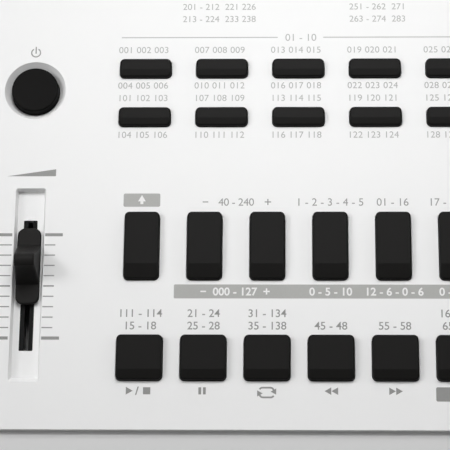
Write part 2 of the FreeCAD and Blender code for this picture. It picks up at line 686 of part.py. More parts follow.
def comb(kind, octave, steps):
    make = black_key if kind == "sharp" else white_key
    bar_y = COMB_AXES[kind][0]
    with_top_c = kind == "dfa" and octave == OCTAVES - 1
    solids = [comb_bar(kind, octave, with_top_c)]
    for step in steps:
        solids += make(octave, step, COMB_ARM_Z[kind], bar_y)
    if with_top_c:
        solids += make(OCTAVES, 0, COMB_ARM_Z[kind], bar_y)
    return joined(solids)


def keybed_frame():
    """Chassis of the keys: base, front stop beam, board ledges and notched uprights."""
    top = CHASSIS_Z + CHASSIS_THICK
    width = (KEYS_LEFT, -KEYS_LEFT)
    solids = [
        box(width, (-172, 10), (CHASSIS_Z, top)),
        box(width, STOP_Y, (top, STOP_Z)),
        box(width, (CONTACT_BOARD_Y[0], CONTACT_BOARD_Y[0] + 4), (top, CONTACT_BOARD_Z)),
        box(width, (CONTACT_BOARD_Y[1] - 4, CONTACT_BOARD_Y[1]), (top, CONTACT_BOARD_Z)),
    ]
    notch = (BAR_R + BAR_PLAY) * math.sqrt(2)
    rise = 1.0
    outline = [(-28.0, top)]
    for kind in ("cegb", "dfa", "sharp"):
        y, z = COMB_AXES[kind]
        half = notch + rise
        if kind == "cegb":
            outline.append((-28.0, z + rise))
        outline += [(y - half, z + rise), (y, z - notch), (y + half, z + rise)]
    outline += [(8.0, COMB_AXES["sharp"][1] + rise), (8.0, top)]
    for x in supports():
        solids.append(side_prism([(y, z, 0) for y, z in outline], x))
    return joined(solids)


def key_felts():
    return box((KEYS_LEFT, -KEYS_LEFT), STOP_Y, (STOP_Z, STOP_Z + FELT_THICK))


def key_contact_board():
    half = -KEYS_LEFT - 2
    return box((-half, half), CONTACT_BOARD_Y, (CONTACT_BOARD_Z, CONTACT_BOARD_Z + BOARD_THICK))


def rubber_contact_strips():
    """One rubber strip to an octave, with a ridge of domes under the key plungers."""
    low = CONTACT_BOARD_Z + BOARD_THICK
    strips = []
    for k in range(OCTAVES):
        x0 = octave_left(k) + 4
        x1 = octave_left(k + 1) - 2 if k < OCTAVES - 1 else -KEYS_LEFT - 4
        y = sum(PLUNGER_Y) / 2
        outline = [(y - 9, low), (y + 9, low), (y + 9, low + 1.5), (y + 4, low + 1.5)]
        outline += [(y + 2.5, DOME_TOP_Z), (y - 2.5, DOME_TOP_Z), (y - 4, low + 1.5), (y - 9, low + 1.5)]
        strips.append(side_prism([(a, b, 0) for a, b in outline], (x0, x1)))
    return Part.makeCompound(strips)


# Electronics and sound
def main_board():
    board = box((-170, 170), (80, 164), (CHASSIS_Z, CHASSIS_Z + BOARD_THICK))
    top = CHASSIS_Z + BOARD_THICK
    chips = [
        centred(-60, 120, 24, 24, (top, top + 2)),
        centred(-20, 124, 14, 20, (top, top + 1.6)),
        centred(30, 118, 40, 12, (top, top + 22)),
        centred(-HEADER_X, HEADER_Y, 26, 8, (top, top + HEADER_HEIGHT)),
        centred(HEADER_X, HEADER_Y, 26, 8, (top, top + HEADER_HEIGHT)),
    ]
    return joined([board] + chips)


def ribbon_cables():
    """Flat cables from the main board headers up to the panel boards."""
    low = CHASSIS_Z + BOARD_THICK + HEADER_HEIGHT
    top_y, top_z = deck_point(CABLE_V, BOARD_TOP - BOARD_THICK)
    path = [(HEADER_Y, low), (HEADER_Y, 40), (86, 52), (top_y + 10, 62), (top_y, 72), (top_y, top_z - 0.3)]
    outline = [(y + CABLE_THICK / 2, z, 0) for y, z in path]
    outline += [(y - CABLE_THICK / 2, z, 0) for y, z in reversed(path)]
    cables = []
    for cx in (-HEADER_X, HEADER_X):
        cables.append(side_prism(outline, (cx - CABLE_WIDTH / 2, cx + CABLE_WIDTH / 2)))
    return Part.makeCompound(cables)


def speaker_grilles():
    grilles = []
    for sx in (-1, 1):
        cx = sx * SPEAKER_X
        wide, deep = GRILLE_SIZE
        rim = 2 * GRILLE_FLANGE
        plate = centred(cx, SPEAKER_V, wide + rim, deep + rim, GRILLE_BASE)
        play = 2 * GRILLE_PLAY
        field = centred(cx, SPEAKER_V, wide - play, deep - play, (GRILLE_BASE[1], -GRILLE_SINK))
        pitch = wide / (GRILLE_SLOTS + 1)
        slots = []
        for i in range(GRILLE_SLOTS):
            x = cx - wide / 2 + pitch * (i + 1)
            slots.append(centred(x, SPEAKER_V, GRILLE_SLOT_WIDTH, deep - 16, (-10, 1)))
        grilles.append(joined([plate, field]).cut(slots))
    return on_deck(Part.makeCompound(grilles))


def speaker_drivers():
    """Cone speakers: flange, tapered basket and magnet, hollow in front."""
    top = GRILLE_BASE[0]
    drivers = []
    for sx in (-1, 1):
        centre = (sx * SPEAKER_X, SPEAKER_V)
        basket = [(30, top - 40), (30, top - 26), (52, top - 5), (DRIVER_R, top - 2.5), (DRIVER_R, top)]
        cone = [(14, top - 20), (46, top - 3), (50, top)]
        drivers.append(many_sided(basket, centre, DRIVER_SIDES).cut(many_sided(cone, centre, DRIVER_SIDES)))
    return on_deck(Part.makeCompound(drivers))


def rear_bore(x, radius, depth):
    return Part.makeCylinder(radius, depth, Vec(x, HALF_D - depth, SOCKET_Z), Vec(0, 1, 0))


def rear_jack_panel():
    """Plate in the window of the rear wall: a flange inside the wall, the socket bodies behind it."""
    inner = HALF_D - WALL - PLATE_FLANGE_THICK
    face = box((PLATE_X[0] + PLATE_PLAY, PLATE_X[1] - PLATE_PLAY), (inner, HALF_D),
               (PLATE_Z[0] + PLATE_PLAY, PLATE_Z[1] - PLATE_PLAY))
    flange = box((PLATE_X[0] - PLATE_FLANGE, PLATE_X[1] + PLATE_FLANGE), (inner, HALF_D - WALL),
                 (PLATE_Z[0] - PLATE_FLANGE, PLATE_Z[1] + PLATE_FLANGE))
    bodies = [box((x - 7, x + 7), (inner - 16, inner), (SOCKET_Z - 7, SOCKET_Z + 7)) for x in JACKS_X]
    bodies.append(box((DC_X - 6, DC_X + 6), (inner - 12, inner), (SOCKET_Z - 6, SOCKET_Z + 6)))
    bodies.append(box((USB_X - 7, USB_X + 7), (inner - 12, inner), (SOCKET_Z - 6.5, SOCKET_Z + 6.5)))
    panel = joined([face, flange] + bodies)
    cuts = [rear_bore(x, JACK_BORE_R, JACK_DEPTH) for x in JACKS_X]
    cuts.append(rear_bore(DC_X, DC_BORE_R, SMALL_DEPTH))
    low_y = HALF_D - SMALL_DEPTH
    cuts.append(box((USB_X - 4.25, USB_X + 4.25), (low_y, HALF_D), (SOCKET_Z - 3.9, SOCKET_Z + 3.9)))
    pin = Part.makeCylinder(DC_PIN_R, SMALL_DEPTH, Vec(DC_X, low_y - 1, SOCKET_Z), Vec(0, 1, 0))
    tongue = box((USB_X - 2.8, USB_X + 2.8), (low_y - 1, HALF_D - 1), (SOCKET_Z - 1.6, SOCKET_Z + 1.6))
    return joined([panel.cut(cuts), pin, tongue])


SINGLE = [
    upper_case, lower_case, case_screws, rubber_feet, rear_jack_panel,
    control_panel, panel_boards, display_window, display_module,
    power_button, volume_fader, volume_slide_pot,
    keybed_frame, key_felts, key_contact_board, rubber_contact_strips,
    main_board, ribbon_cables, speaker_grilles, speaker_drivers,
]
TALL_NAMES = ("shift", "tempo_down", "tempo_up", "metronome", "mixer", "harmony")
SQUARE_NAMES = ("start_stop", "sync_start", "intro_ending", "fill_a", "fill_b", "chord")

for make in SINGLE:
    save(make(), make.__name__)
for number, (x, v) in enumerate(STYLE_PLACES, 1):
    save(push_button(x, v, STYLE_SIZE), "style_button_%d" % number)
for name, (x, v) in zip(TALL_NAMES, TALL_PLACES):
    save(push_button(x, v, TALL_SIZE), name + "_button")
for name, (x, v) in zip(SQUARE_NAMES, SQUARE_PLACES):
    save(push_button(x, v, SQUARE_SIZE), name + "_button")
for name, (places, size) in zip(("voice", "keypad"), RIGHT_GROUPS):
    save(button_strip(places, size), name + "_buttons")
for octave in range(OCTAVES):
    save(comb("cegb", octave, (0, 2, 4, 6)), "natural_comb_cegb_%d" % (octave + 1))
    save(comb("dfa", octave, (1, 3, 5)), "natural_comb_dfa_%d" % (octave + 1))
    save(comb("sharp", octave, sorted(BLACK_AFTER)), "sharp_comb_%d" % (octave + 1))
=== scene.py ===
import bmesh
import bpy
import json
import math
from mathutils import Matrix, Vector

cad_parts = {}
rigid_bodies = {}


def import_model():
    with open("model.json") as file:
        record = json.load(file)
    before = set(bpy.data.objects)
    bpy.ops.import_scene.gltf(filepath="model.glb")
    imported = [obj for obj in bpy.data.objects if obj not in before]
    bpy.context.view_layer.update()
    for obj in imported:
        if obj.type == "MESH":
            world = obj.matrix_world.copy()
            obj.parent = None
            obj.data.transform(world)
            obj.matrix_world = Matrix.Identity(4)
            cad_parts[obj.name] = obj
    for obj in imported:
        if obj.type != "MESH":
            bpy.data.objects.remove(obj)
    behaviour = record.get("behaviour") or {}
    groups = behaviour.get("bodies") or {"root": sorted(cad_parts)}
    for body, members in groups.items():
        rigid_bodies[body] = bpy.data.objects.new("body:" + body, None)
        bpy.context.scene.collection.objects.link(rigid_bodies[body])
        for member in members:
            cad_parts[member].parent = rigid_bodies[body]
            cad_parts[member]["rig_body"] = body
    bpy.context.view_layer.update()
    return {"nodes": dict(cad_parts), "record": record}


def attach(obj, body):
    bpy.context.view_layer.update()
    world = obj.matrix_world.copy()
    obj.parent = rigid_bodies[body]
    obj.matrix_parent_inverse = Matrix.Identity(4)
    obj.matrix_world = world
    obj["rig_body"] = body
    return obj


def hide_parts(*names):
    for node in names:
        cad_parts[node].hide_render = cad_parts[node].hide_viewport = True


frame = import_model()
scene = bpy.context.scene
print("frame loaded:", len(frame["nodes"]), "CAD nodes")

# The sloping control deck, in millimetres: x along the panel, y up the slope, z off it
mm = 0.001
deck = {"front": (0.0, -30.0, 90.0), "slope": 6.0}
worldMm = Matrix.Scale(mm, 4)
deckMm = worldMm @ Matrix.Translation(deck["front"]) @ Matrix.Rotation(math.radians(deck["slope"]), 4, "X")
weld = {"print": 0.0005, "turned": 0.001, "plate": 0.002, "cad": 0.002}  # points this close become one
flatWithin = math.radians(1.0)  # neighbouring faces within this angle become one


def deckBox(node):  # corners of a CAD node, in deck millimetres
    back = deckMm.inverted()
    points = [back @ vert.co for vert in frame["nodes"][node].data.vertices]
    low = Vector([round(min(p[i] for p in points), 2) for i in range(3)])
    high = Vector([round(max(p[i] for p in points), 2) for i in range(3)])
    return low, high


def deckMiddle(node):
    low, high = deckBox(node)
    return (low + high) / 2


# Shared shader effects
mouldTexture = {
    "noises": (("Fine", 3.0, "Height"), ("Broad", 4.0, "Patch")),  # scale input, detail, output
    "mostly": (0.3, 0.7),  # where most of a noise mask lies
    "roughSpread": 0.04,  # how far the fine grain moves the roughness either way
}


def makeGroup(name, inputs, outputs):
    group = bpy.data.node_groups.new(name, "ShaderNodeTree")
    for label, kind, value in inputs:
        socket = group.interface.new_socket(name=label, in_out="INPUT", socket_type=kind)
        if value is not None:
            socket.default_value = value
    for label, kind in outputs:
        group.interface.new_socket(name=label, in_out="OUTPUT", socket_type=kind)
    return group, group.nodes.new("NodeGroupInput"), group.nodes.new("NodeGroupOutput")


def feed(tree, socket, value):  # a link where the value is another socket, or else a plain setting
    if isinstance(value, bpy.types.NodeSocket):
        tree.links.new(value, socket)
    else:
        socket.default_value = value


def mathNode(tree, operation, first, second):
    node = tree.nodes.new("ShaderNodeMath")
    node.operation = operation
    for socket, value in zip(node.inputs, (first, second)):
        feed(tree, socket, value)
    return node.outputs[0]


def makeMouldGrain():  # spark-eroded mould texture, and broad soft patches of tone
    group, entry, out = makeGroup(
        "mouldGrain",
        [
            ("Vector", "NodeSocketVector", None),
            ("Fine", "NodeSocketFloat", 2500.0),
            ("Broad", "NodeSocketFloat", 18.0),
        ],
        [("Height", "NodeSocketFloat"), ("Patch", "NodeSocketFloat")],
    )
    for label, detail, result in mouldTexture["noises"]:
        texture = group.nodes.new("ShaderNodeTexNoise")
        texture.inputs["Detail"].default_value = detail
        group.links.new(entry.outputs["Vector"], texture.inputs["Vector"])
        group.links.new(entry.outputs[label], texture.inputs["Scale"])
        group.links.new(texture.outputs["Fac"], out.inputs[result])
    return group


mouldGrain = makeMouldGrain()


def shade(color, factor):
    return (color[0] * factor, color[1] * factor, color[2] * factor, 1.0)


def mixColor(tree, factor, first, second):
    node = tree.nodes.new("ShaderNodeMix")
    node.data_type = "RGBA"
    colors = [s for s in node.inputs if s.type == "RGBA"]
    for socket, value in zip(colors, (first, second)):
        feed(tree, socket, value)
    tree.links.new(factor, node.inputs["Factor"])
    return [s for s in node.outputs if s.type == "RGBA"][0]


def spread(tree, mask, low, high):  # a noise mask as a range of values
    node = tree.nodes.new("ShaderNodeMapRange")
    ends = zip(("From Min", "From Max", "To Min", "To Max"), (*mouldTexture["mostly"], low, high))
    for label, value in ends:
        node.inputs[label].default_value = value
    tree.links.new(mask, node.inputs["Value"])
    return node.outputs["Result"]


def moulded(
    name, color, rough, fine=2500.0, broad=18.0, bump=0.15, depth=0.00002, tone=0.03, sockets=None,
):
    material = bpy.data.materials.new(name)
    material.use_nodes = True
    tree = material.node_tree
    shader = tree.nodes["Principled BSDF"]
    place = tree.nodes.new("ShaderNodeTexCoord").outputs["Object"]
    grain = tree.nodes.new("ShaderNodeGroup")
    grain.node_tree = mouldGrain
    grain.inputs["Fine"].default_value = fine
    grain.inputs["Broad"].default_value = broad
    tree.links.new(place, grain.inputs["Vector"])
    paint = mixColor(tree, grain.outputs["Patch"], shade(color, 1.0 - tone), shade(color, 1.0 + tone))
    tree.links.new(paint, shader.inputs["Base Color"])
    away = mouldTexture["roughSpread"]
    gloss = spread(tree, grain.outputs["Height"], rough - away, rough + away)
    tree.links.new(gloss, shader.inputs["Roughness"])
    relief = tree.nodes.new("ShaderNodeBump")
    relief.inputs["Strength"].default_value = bump
    relief.inputs["Distance"].default_value = depth
    tree.links.new(grain.outputs["Height"], relief.inputs["Height"])
    tree.links.new(relief.outputs["Normal"], shader.inputs["Normal"])
    for label, value in (sockets or {}).items():
        shader.inputs[label].default_value = value
    return material


finishes = {
    "white_panel": moulded("satinWhitePanel", (0.86, 0.86, 0.858), 0.42, tone=0.008),
    "white_case": moulded("satinPaleCase", (0.87, 0.87, 0.868), 0.45, tone=0.012),
    "grey_case": moulded("texturedGreyCase", (0.40, 0.40, 0.405), 0.6, fine=1400.0, bump=0.4, depth=0.00005),
    "black_cap": moulded(
        "satinBlackCap", (0.0062, 0.0058, 0.0053), 0.5, fine=3200.0, bump=0.25, tone=0.1,
        sockets={"Specular IOR Level": 0.11},
    ),
    "key_white": moulded(
        "glossIvoryKey", (0.83, 0.82, 0.785), 0.16, bump=0.02, tone=0.015, sockets={"Coat Weight": 0.3},
    ),
    "key_black": moulded("satinBlackKey", (0.012, 0.012, 0.012), 0.3, fine=1800.0, bump=0.2, tone=0.1),
    "chassis": moulded("blackChassis", (0.03, 0.03, 0.03), 0.6),
    "circuit_board": moulded("greenBoard", (0.03, 0.16, 0.06), 0.35, broad=300.0, tone=0.35),
    "rubber": moulded(
        "blackRubber", (0.02, 0.02, 0.02), 0.85, fine=1200.0, bump=0.5, depth=0.00008, tone=0.15,
    ),
    "contact_rubber": moulded("greyRubber", (0.5, 0.5, 0.47), 0.8),
    "steel": moulded(
        "zincSteel", (0.55, 0.55, 0.53), 0.35, broad=900.0, tone=0.12, sockets={"Metallic": 1.0},
    ),
    "grille": moulded("darkGrille", (0.16, 0.16, 0.163), 0.55, fine=1500.0, bump=0.3, depth=0.00004),
    "driver": moulded("paperCone", (0.025, 0.025, 0.024), 0.8, fine=900.0, bump=0.6, depth=0.0001, tone=0.2),
    "display": moulded("greyDisplay", (0.20, 0.235, 0.20), 0.25, fine=1500.0, bump=0.02, tone=0.04),
    "socket_black": moulded("socketBlack", (0.025, 0.025, 0.025), 0.5, bump=0.3),
    "felt": moulded("redFelt", (0.30, 0.02, 0.02), 0.95, fine=4000.0, bump=0.9, depth=0.0002, tone=0.25),
    "flat_cable": moulded("greyRibbon", (0.42, 0.42, 0.44), 0.5, broad=700.0, tone=0.2),
    "clear_window": moulded(  # the one finish that is seen through
        "clearAcrylic", (0.05, 0.055, 0.06), 0.08, bump=0.01, tone=0.02, sockets={"Alpha": 0.28},
    ),
}
ownFinishes = {  # pieces whose tone differs from the rest of their slot: the power cap darker as painted shade, the fader cap and the plated pot lighter as painted light
    # power cap: the black cap plastic painted darker, as painted shade
    "power": moulded(
        "blackPowerPaintedShade", (0.0042, 0.004, 0.0038), 0.55, fine=3200.0, bump=0.25,
        sockets={"Specular IOR Level": 0.08},
    ),
    # fader cap: the black cap plastic painted lighter, as painted light for the shade at its base
    "fader": moulded(
        "blackFaderPaintedLight", (0.0125, 0.0118, 0.0112), 0.55, fine=3200.0, bump=0.25,
        sockets={"Specular IOR Level": 0.13},
    ),
    "lips": moulded("blackLip", (0.016, 0.016, 0.016), 0.9, sockets={"Specular IOR Level": 0.05}),
    # pot: plated metal, and pale as painted light where the slot's shade falls
    "pot": moulded("platedPotPaintedLight", (0.24, 0.24, 0.235), 0.6),
}
inks = {
    "grey": moulded("greyInk", (0.27, 0.27, 0.262), 0.5, broad=2200.0, tone=0.06),
    "bar": moulded("barInk", (0.40, 0.40, 0.385), 0.5, broad=2200.0, tone=0.05),
    "pale": moulded("paleGreyInk", (0.42, 0.42, 0.41), 0.5, broad=2200.0, tone=0.06),
    "white": moulded("whiteInk", (0.84, 0.84, 0.83), 0.5, broad=2200.0, tone=0.03),
    "segments": moulded("darkSegments", (0.035, 0.042, 0.035), 0.4, broad=2200.0, tone=0.05),
}
print("finishes ready:", len(finishes) + len(ownFinishes) + len(inks))

# Every CAD node gets the finish of its slot
slotOf = {row["node"]: row["material_slot"] for row in frame["record"]["subparts"]}
for node, source in frame["nodes"].items():
    source.data.materials.clear()
    source.data.materials.append(finishes[slotOf[node]])
frame["nodes"]["volume_slide_pot"].data.materials[0] = ownFinishes["pot"]  # plated metal, made pale as painted light in the deep, shaded slot


# Pieces
def addPiece(name, shape, body, slot, place=deckMm, replaced=(), finish=None, angle=32.0):
    if place is not None:
        bmesh.ops.transform(shape, matrix=place, verts=shape.verts)
    for face in shape.faces:
        face.smooth = True
    for edge in shape.edges:
        if edge.calc_face_angle(0.0) > math.radians(angle):
            edge.smooth = False
    mesh = bpy.data.meshes.new(name)
    shape.to_mesh(mesh)
    shape.free()
    mesh.materials.append(finish or finishes[slot])
    piece = bpy.data.objects.new(name, mesh)
    scene.collection.objects.link(piece)
    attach(piece, body)
    for node in replaced:
        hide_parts(node)
    steady = piece.modifiers.new("steadyNormals", "WEIGHTED_NORMAL")  # large flats stay flat
    steady.keep_sharp = True
    steady.weight = 100
    return piece


def upright(verts):  # edges that stand up, among some verts
    chosen = {edge for vert in verts for edge in vert.link_edges}
    return [e for e in chosen if abs(e.verts[0].co.z - e.verts[1].co.z) > 0.5 * e.calc_length()]


def bevelEdges(shape, edges, width, segments):
    return bmesh.ops.bevel(
        shape, geom=edges, offset=width, offset_type="OFFSET", segments=segments, profile=0.5,
        affect="EDGES", material=-1, clamp_overlap=True,
    )


def addBlock(shape, middle, size, corner=0.0, segments=4):  # box with rounded upright edges
    made = bmesh.ops.create_cube(shape, size=1.0)["verts"]
    bmesh.ops.scale(shape, vec=size, verts=made)
    bmesh.ops.translate(shape, vec=middle, verts=made)
    if corner:
        made = bevelEdges(shape, upright(made), corner, segments)["verts"]
    return made


def onCut(edge, x):
    return all(abs(vert.co.x - x) < 1e-6 for vert in edge.verts)


def softened(node, edge, segments, cuts=(), angle=30.0):  # a CAD solid with its sharp edges rounded
    source = frame["nodes"][node]
    shape = bmesh.new()
    shape.from_mesh(source.data)
    bmesh.ops.remove_doubles(shape, verts=shape.verts, dist=weld["cad"] * mm)
    for x in cuts:  # through the middle of each opening, so that no face has a hole in it
        everything = shape.verts[:] + shape.edges[:] + shape.faces[:]
        bmesh.ops.bisect_plane(shape, geom=everything, plane_co=(x * mm, 0, 0), plane_no=(1, 0, 0))
    flatEdges = [e for e in shape.edges if not any(onCut(e, x * mm) for x in cuts)]
    bmesh.ops.dissolve_limit(shape, angle_limit=flatWithin, verts=[], edges=flatEdges)
    slot = slotOf[node]
    piece = addPiece(node + "_finished", shape, source["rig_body"], slot, place=None, replaced=(node,))
    rounding = piece.modifiers.new("edges", "BEVEL")
    rounding.width = edge * mm
    rounding.segments = segments
    rounding.limit_method = "ANGLE"
    rounding.angle_limit = math.radians(angle)
    rounding.harden_normals = True
    rounding.miter_outer = "MITER_ARC"
    piece.modifiers.move(1, 0)
    return piece


# Button caps: each size comes from its CAD node, less the flange under the panel
cap = {
    "corner": 1.25,
    "cornerSteps": 9,
    "edge": 0.42,
    "edgeSteps": 8,
    "facetFall": 9.0,
    "under": -3.3,  # where the cap meets its flange
    "flange": (0.9, 1.2),  # width past the cap, thickness
    "flangeCorner": 0.6,
    "stem": (3.0, -5.6),  # width, lower end
    "stemCorner": 0.3,
    "footSteps": 2,
    "web": {"drop": 0.2, "corner": 0.8, "steps": 3},  # joins the caps of a strip
    "styles": {"top": 1.5, "facet": 2.1},
    "talls": {"top": 1.8, "facet": 4.1},
    "squares": {"top": 1.8, "facet": 2.7},
}
styleNodes = ["style_button_%d" % n for n in range(1, 11)]
tallNodes = [n + "_button" for n in ("shift", "tempo_down", "tempo_up", "metronome", "mixer", "harmony")]
squareNodes = ["start_stop_button", "sync_start_button", "intro_ending_button"]
squareNodes += ["fill_a_button", "fill_b_button", "chord_button"]
groups = {"styles": styleNodes, "talls": tallNodes, "squares": squareNodes}
strips = {"voice_buttons": ("styles", 5, 2), "keypad_buttons": ("squares", 6, 2)}  # kind, columns, lines


def joinInto(shape, part):  # adds a finished bmesh to another
    mesh = bpy.data.meshes.new("joined")
    part.to_mesh(mesh)
    part.free()
    shape.from_mesh(mesh)
    bpy.data.meshes.remove(mesh)


def capSize(node):
    low, high = deckBox(node)
    rim = 2 * cap["flange"][0]
    return high.x - low.x - rim, high.y - low.y - rim


def addFoot(shape, x, y, wide, deep):  # flange under the panel and the stem on the switch
    thick = cap["flange"][1]
    flangeLow = cap["under"] - thick
    stemWide, stemEnd = cap["stem"]
    steps = cap["footSteps"]
    addBlock(shape, (x, y, cap["under"] - thick / 2), (wide, deep, thick), cap["flangeCorner"], steps)
    size = (stemWide, stemWide, flangeLow - stemEnd)
    addBlock(shape, (x, y, (flangeLow + stemEnd) / 2), size, cap["stemCorner"], steps)


def addCap(shape, x, y, size, kind):
    wide, deep = size
    top, facet = cap[kind]["top"], cap[kind]["facet"]
    part = bmesh.new()
    middle = (0, 0, (top + cap["under"]) / 2)
    addBlock(part, middle, (wide, deep, top - cap["under"]), cap["corner"], cap["cornerSteps"])
    fall = math.radians(cap["facetFall"])
    bmesh.ops.bisect_plane(
        part, geom=part.verts[:] + part.edges[:] + part.faces[:], plane_co=(0, facet - deep / 2, top),
        plane_no=(0, -math.sin(fall), math.cos(fall)), clear_outer=True,
    )
    bmesh.ops.holes_fill(part, edges=[e for e in part.edges if e.is_boundary], sides=0)
    part.normal_update()
    upper = {f for f in part.faces if f.normal.z > 0.9}
    rim = [e for e in part.edges if len(upper.intersection(e.link_faces)) == 1]
    bevelEdges(part, rim, cap["edge"], cap["edgeSteps"])
    part.normal_update()
    flats = [f for f in part.faces if f.normal.z > math.cos(fall * 1.1) and f.calc_area() > facet]
    for edge in part.edges:  # a crisp line where the facet starts
        if any(face in flats for face in edge.link_faces):
            edge.smooth = False
    rimWide = 2 * cap["flange"][0]
    addFoot(part, 0, 0, wide + rimWide, deep + rimWide)
    bmesh.ops.translate(part, vec=(x, y, 0), verts=part.verts)
    joinInto(shape, part)


def stripPlaces(node, size, columns, lines):  # cap centres of a moulded strip, from its web
    low, high = deckBox(node)
    first = [low[i] + size[i] / 2 + cap["flange"][0] for i in range(2)]
    last = [high[i] - size[i] / 2 - cap["flange"][0] for i in range(2)]
    across, up = (last[0] - first[0]) / (columns - 1), (last[1] - first[1]) / (lines - 1)
    return [(first[0] + across * c, first[1] + up * r) for r in range(lines) for c in range(columns)]


holes = []  # every button hole of the panel: place and cap size


def makeButton(node, kind):
    middle = deckMiddle(node)
    size = capSize(node)
    shape = bmesh.new()
    addCap(shape, middle.x, middle.y, size, kind)
    addPiece(node + "_cap", shape, node, "black_cap", replaced=(node,))
    holes.append((middle.x, middle.y, size))


def makeStrip(node, kind, columns, lines):  # caps of one moulding; gives back their places
    shape = bmesh.new()
    size = capSize(groups[kind][0])
    places = stripPlaces(node, size, columns, lines)
    for x, y in places:
        addCap(shape, x, y, size, kind)
        holes.append((x, y, size))
    low, high = deckBox(node)
    web = cap["web"]
    thick = cap["flange"][1] - web["drop"]
    middle = ((low.x + high.x) / 2, (low.y + high.y) / 2, cap["under"] - web["drop"] - thick / 2)
    addBlock(shape, middle, (high.x - low.x, high.y - low.y, thick), web["corner"], web["steps"])
    addPiece(node + "_caps", shape, node, "black_cap", replaced=(node,))
    return places


for kind, nodes in groups.items():
    for node in nodes:
        makeButton(node, kind)
stripCaps = {node: makeStrip(node, *layout) for node, layout in strips.items()}
print("button caps made:", len(holes))

# Control panel: one plate with rounded holes, a dish for the power button and a fader channel
panel = {
    "thick": 3.0,
    "rim": 0.12,
    "corner": 1.2,
    "play": 0.15,
    "dishTop": 8.36,
    "dishLow": 6.6,
    "dishDeep": 2.1,
    "dishFoot": (0.12, 0.1),  # small bevel at the foot of the dish: across, up and down
    "dishSteps": 72,
    "channel": (8.05, 53.65),
    "channelAt": 39.65,
    "channelDeep": 2.2,
    "channelCorner": 0.6,
    "floorCorner": 0.42,
    "sideDraft": 0.5,
    "rearDraft": 0.3,
    "frontRamp": 1.45,
    "slot": (3.7, 36.4),
    "slotAt": 39.85,
    "slotCorner": 0.25,
    "slotEnd": -4.2,
    "wall": 1.8,  # of the tub under the channel
    "sunkTop": -0.6,  # the tub's outside ends inside the plate
    "overlap": 0.02,  # sunk shells reach this far into the plate
    "windowCorner": 0.8,
    "lip": (0.65, -2.4, -3.4),  # dust lips in the slot: half gap, top, bottom
}


def roundedPoints(x, y, wide, deep, radius, steps=6):  # rectangle with round corners, anticlockwise
    points = []
    for quarter, (sx, sy) in enumerate(((1, 1), (-1, 1), (-1, -1), (1, -1))):
        cx, cy = x + sx * (wide / 2 - radius), y + sy * (deep / 2 - radius)
        for step in range(steps + 1):
            turn = math.pi / 2 * (quarter + step / steps)
            points.append((cx + radius * math.cos(turn), cy + radius * math.sin(turn)))
    return points


def addOutline(curve, outline):
    points = roundedPoints(*outline)
    spline = curve.splines.new("POLY")
    spline.points.add(len(points) - 1)
    for point, (px, py) in zip(spline.points, points):
        point.co = (px, py, 0, 1)
    spline.use_cyclic_u = True


def curveMesh(curve):
    holder = bpy.data.objects.new("outline", curve)
    scene.collection.objects.link(holder)
    bpy.context.view_layer.update()
    mesh = bpy.data.meshes.new_from_object(holder.evaluated_get(bpy.context.evaluated_depsgraph_get()))
    bpy.data.objects.remove(holder)
    bpy.data.curves.remove(curve)
    return mesh


def roundPlate(outlines, top, thick, rim):  # plate with eased rims; the first outline is its outside
    curve = bpy.data.curves.new("plate", "CURVE")
    curve.dimensions = "2D"
    curve.fill_mode = "BOTH"
    curve.extrude = thick / 2 - rim
    curve.bevel_depth = rim
    curve.bevel_resolution = 2
    curve.offset = -rim
    for outline in outlines:
        addOutline(curve, outline)
    mesh = curveMesh(curve)
    shape = bmesh.new()
    shape.from_mesh(mesh)
    bpy.data.meshes.remove(mesh)
    bmesh.ops.translate(shape, vec=(0, 0, top - thick / 2), verts=shape.verts)
    bmesh.ops.remove_doubles(shape, verts=shape.verts, dist=weld["plate"])
    bmesh.ops.recalc_face_normals(shape, faces=shape.faces)
    return shape


def addChannel(shape, x):  # rings of points from the rim down through the slot, and back up outside
    wide, deep = panel["channel"]
    lap = panel["overlap"]
    tub = 2 * panel["wall"]
    at = panel["channelAt"]
    front = at - deep / 2 + panel["frontRamp"]
    rear = at + deep / 2 - panel["rearDraft"]
    floor = -panel["channelDeep"]
    radius = panel["channelCorner"]
    bottom = (x, (front + rear) / 2, wide - 2 * panel["sideDraft"], rear - front, panel["floorCorner"])
    slot = (x, panel["slotAt"], *panel["slot"], panel["slotCorner"])
    outside = (x, at, wide + tub, deep + tub, radius + panel["wall"])
    levels = (
        ((x, at, wide + 2 * lap, deep + 2 * lap, radius + lap), -panel["rim"]),
        (bottom, floor),
        (slot, floor),
        (slot, panel["slotEnd"]),
        (outside, panel["slotEnd"]),
        (outside, panel["sunkTop"]),
    )
    rings = []
    for outline, z in levels:
        rings.append([shape.verts.new((px, py, z)) for px, py in roundedPoints(*outline)])
    for upper, lower in zip(rings, rings[1:] + rings[:1]):  # bridging would twist rings that share a plane
        for i in range(len(upper)):
            shape.faces.new((upper[i - 1], upper[i], lower[i], lower[i - 1]))


def turnProfile(shape, x, y, profile, steps):  # radius and height points, turned about an upright line
    verts = [shape.verts.new((x + r, y, z)) for r, z in profile]
    edges = [shape.edges.new(pair) for pair in zip(verts, verts[1:])]
    bmesh.ops.spin(
        shape, geom=verts + edges, cent=(x, y, 0), axis=(0, 0, 1), angle=2 * math.pi, steps=steps,
        use_merge=True,
    )


def panelOutlines(button):  # the plate, then its openings
    low, high = deckBox("control_panel")
    middle = (low + high) / 2
    top, play = panel["dishTop"], panel["play"]
    outlines = [(middle.x, middle.y, high.x - low.x, high.y - low.y, panel["corner"])]
    for x, y, size in holes:
        outlines.append((x, y, size[0] + 2 * play, size[1] + 2 * play, cap["corner"] + play))
    outlines.append((button.x, button.y, 2 * top, 2 * top, top, panel["dishSteps"] // 4))
    outlines.append((button.x, panel["channelAt"], *panel["channel"], panel["channelCorner"]))
    low, high = deckBox("display_window")
    middle = (low + high) / 2
    opening = high - low + Vector((2 * play, 2 * play, 0))
    outlines.append((middle.x, middle.y, opening.x, opening.y, panel["windowCorner"]))
    return outlines


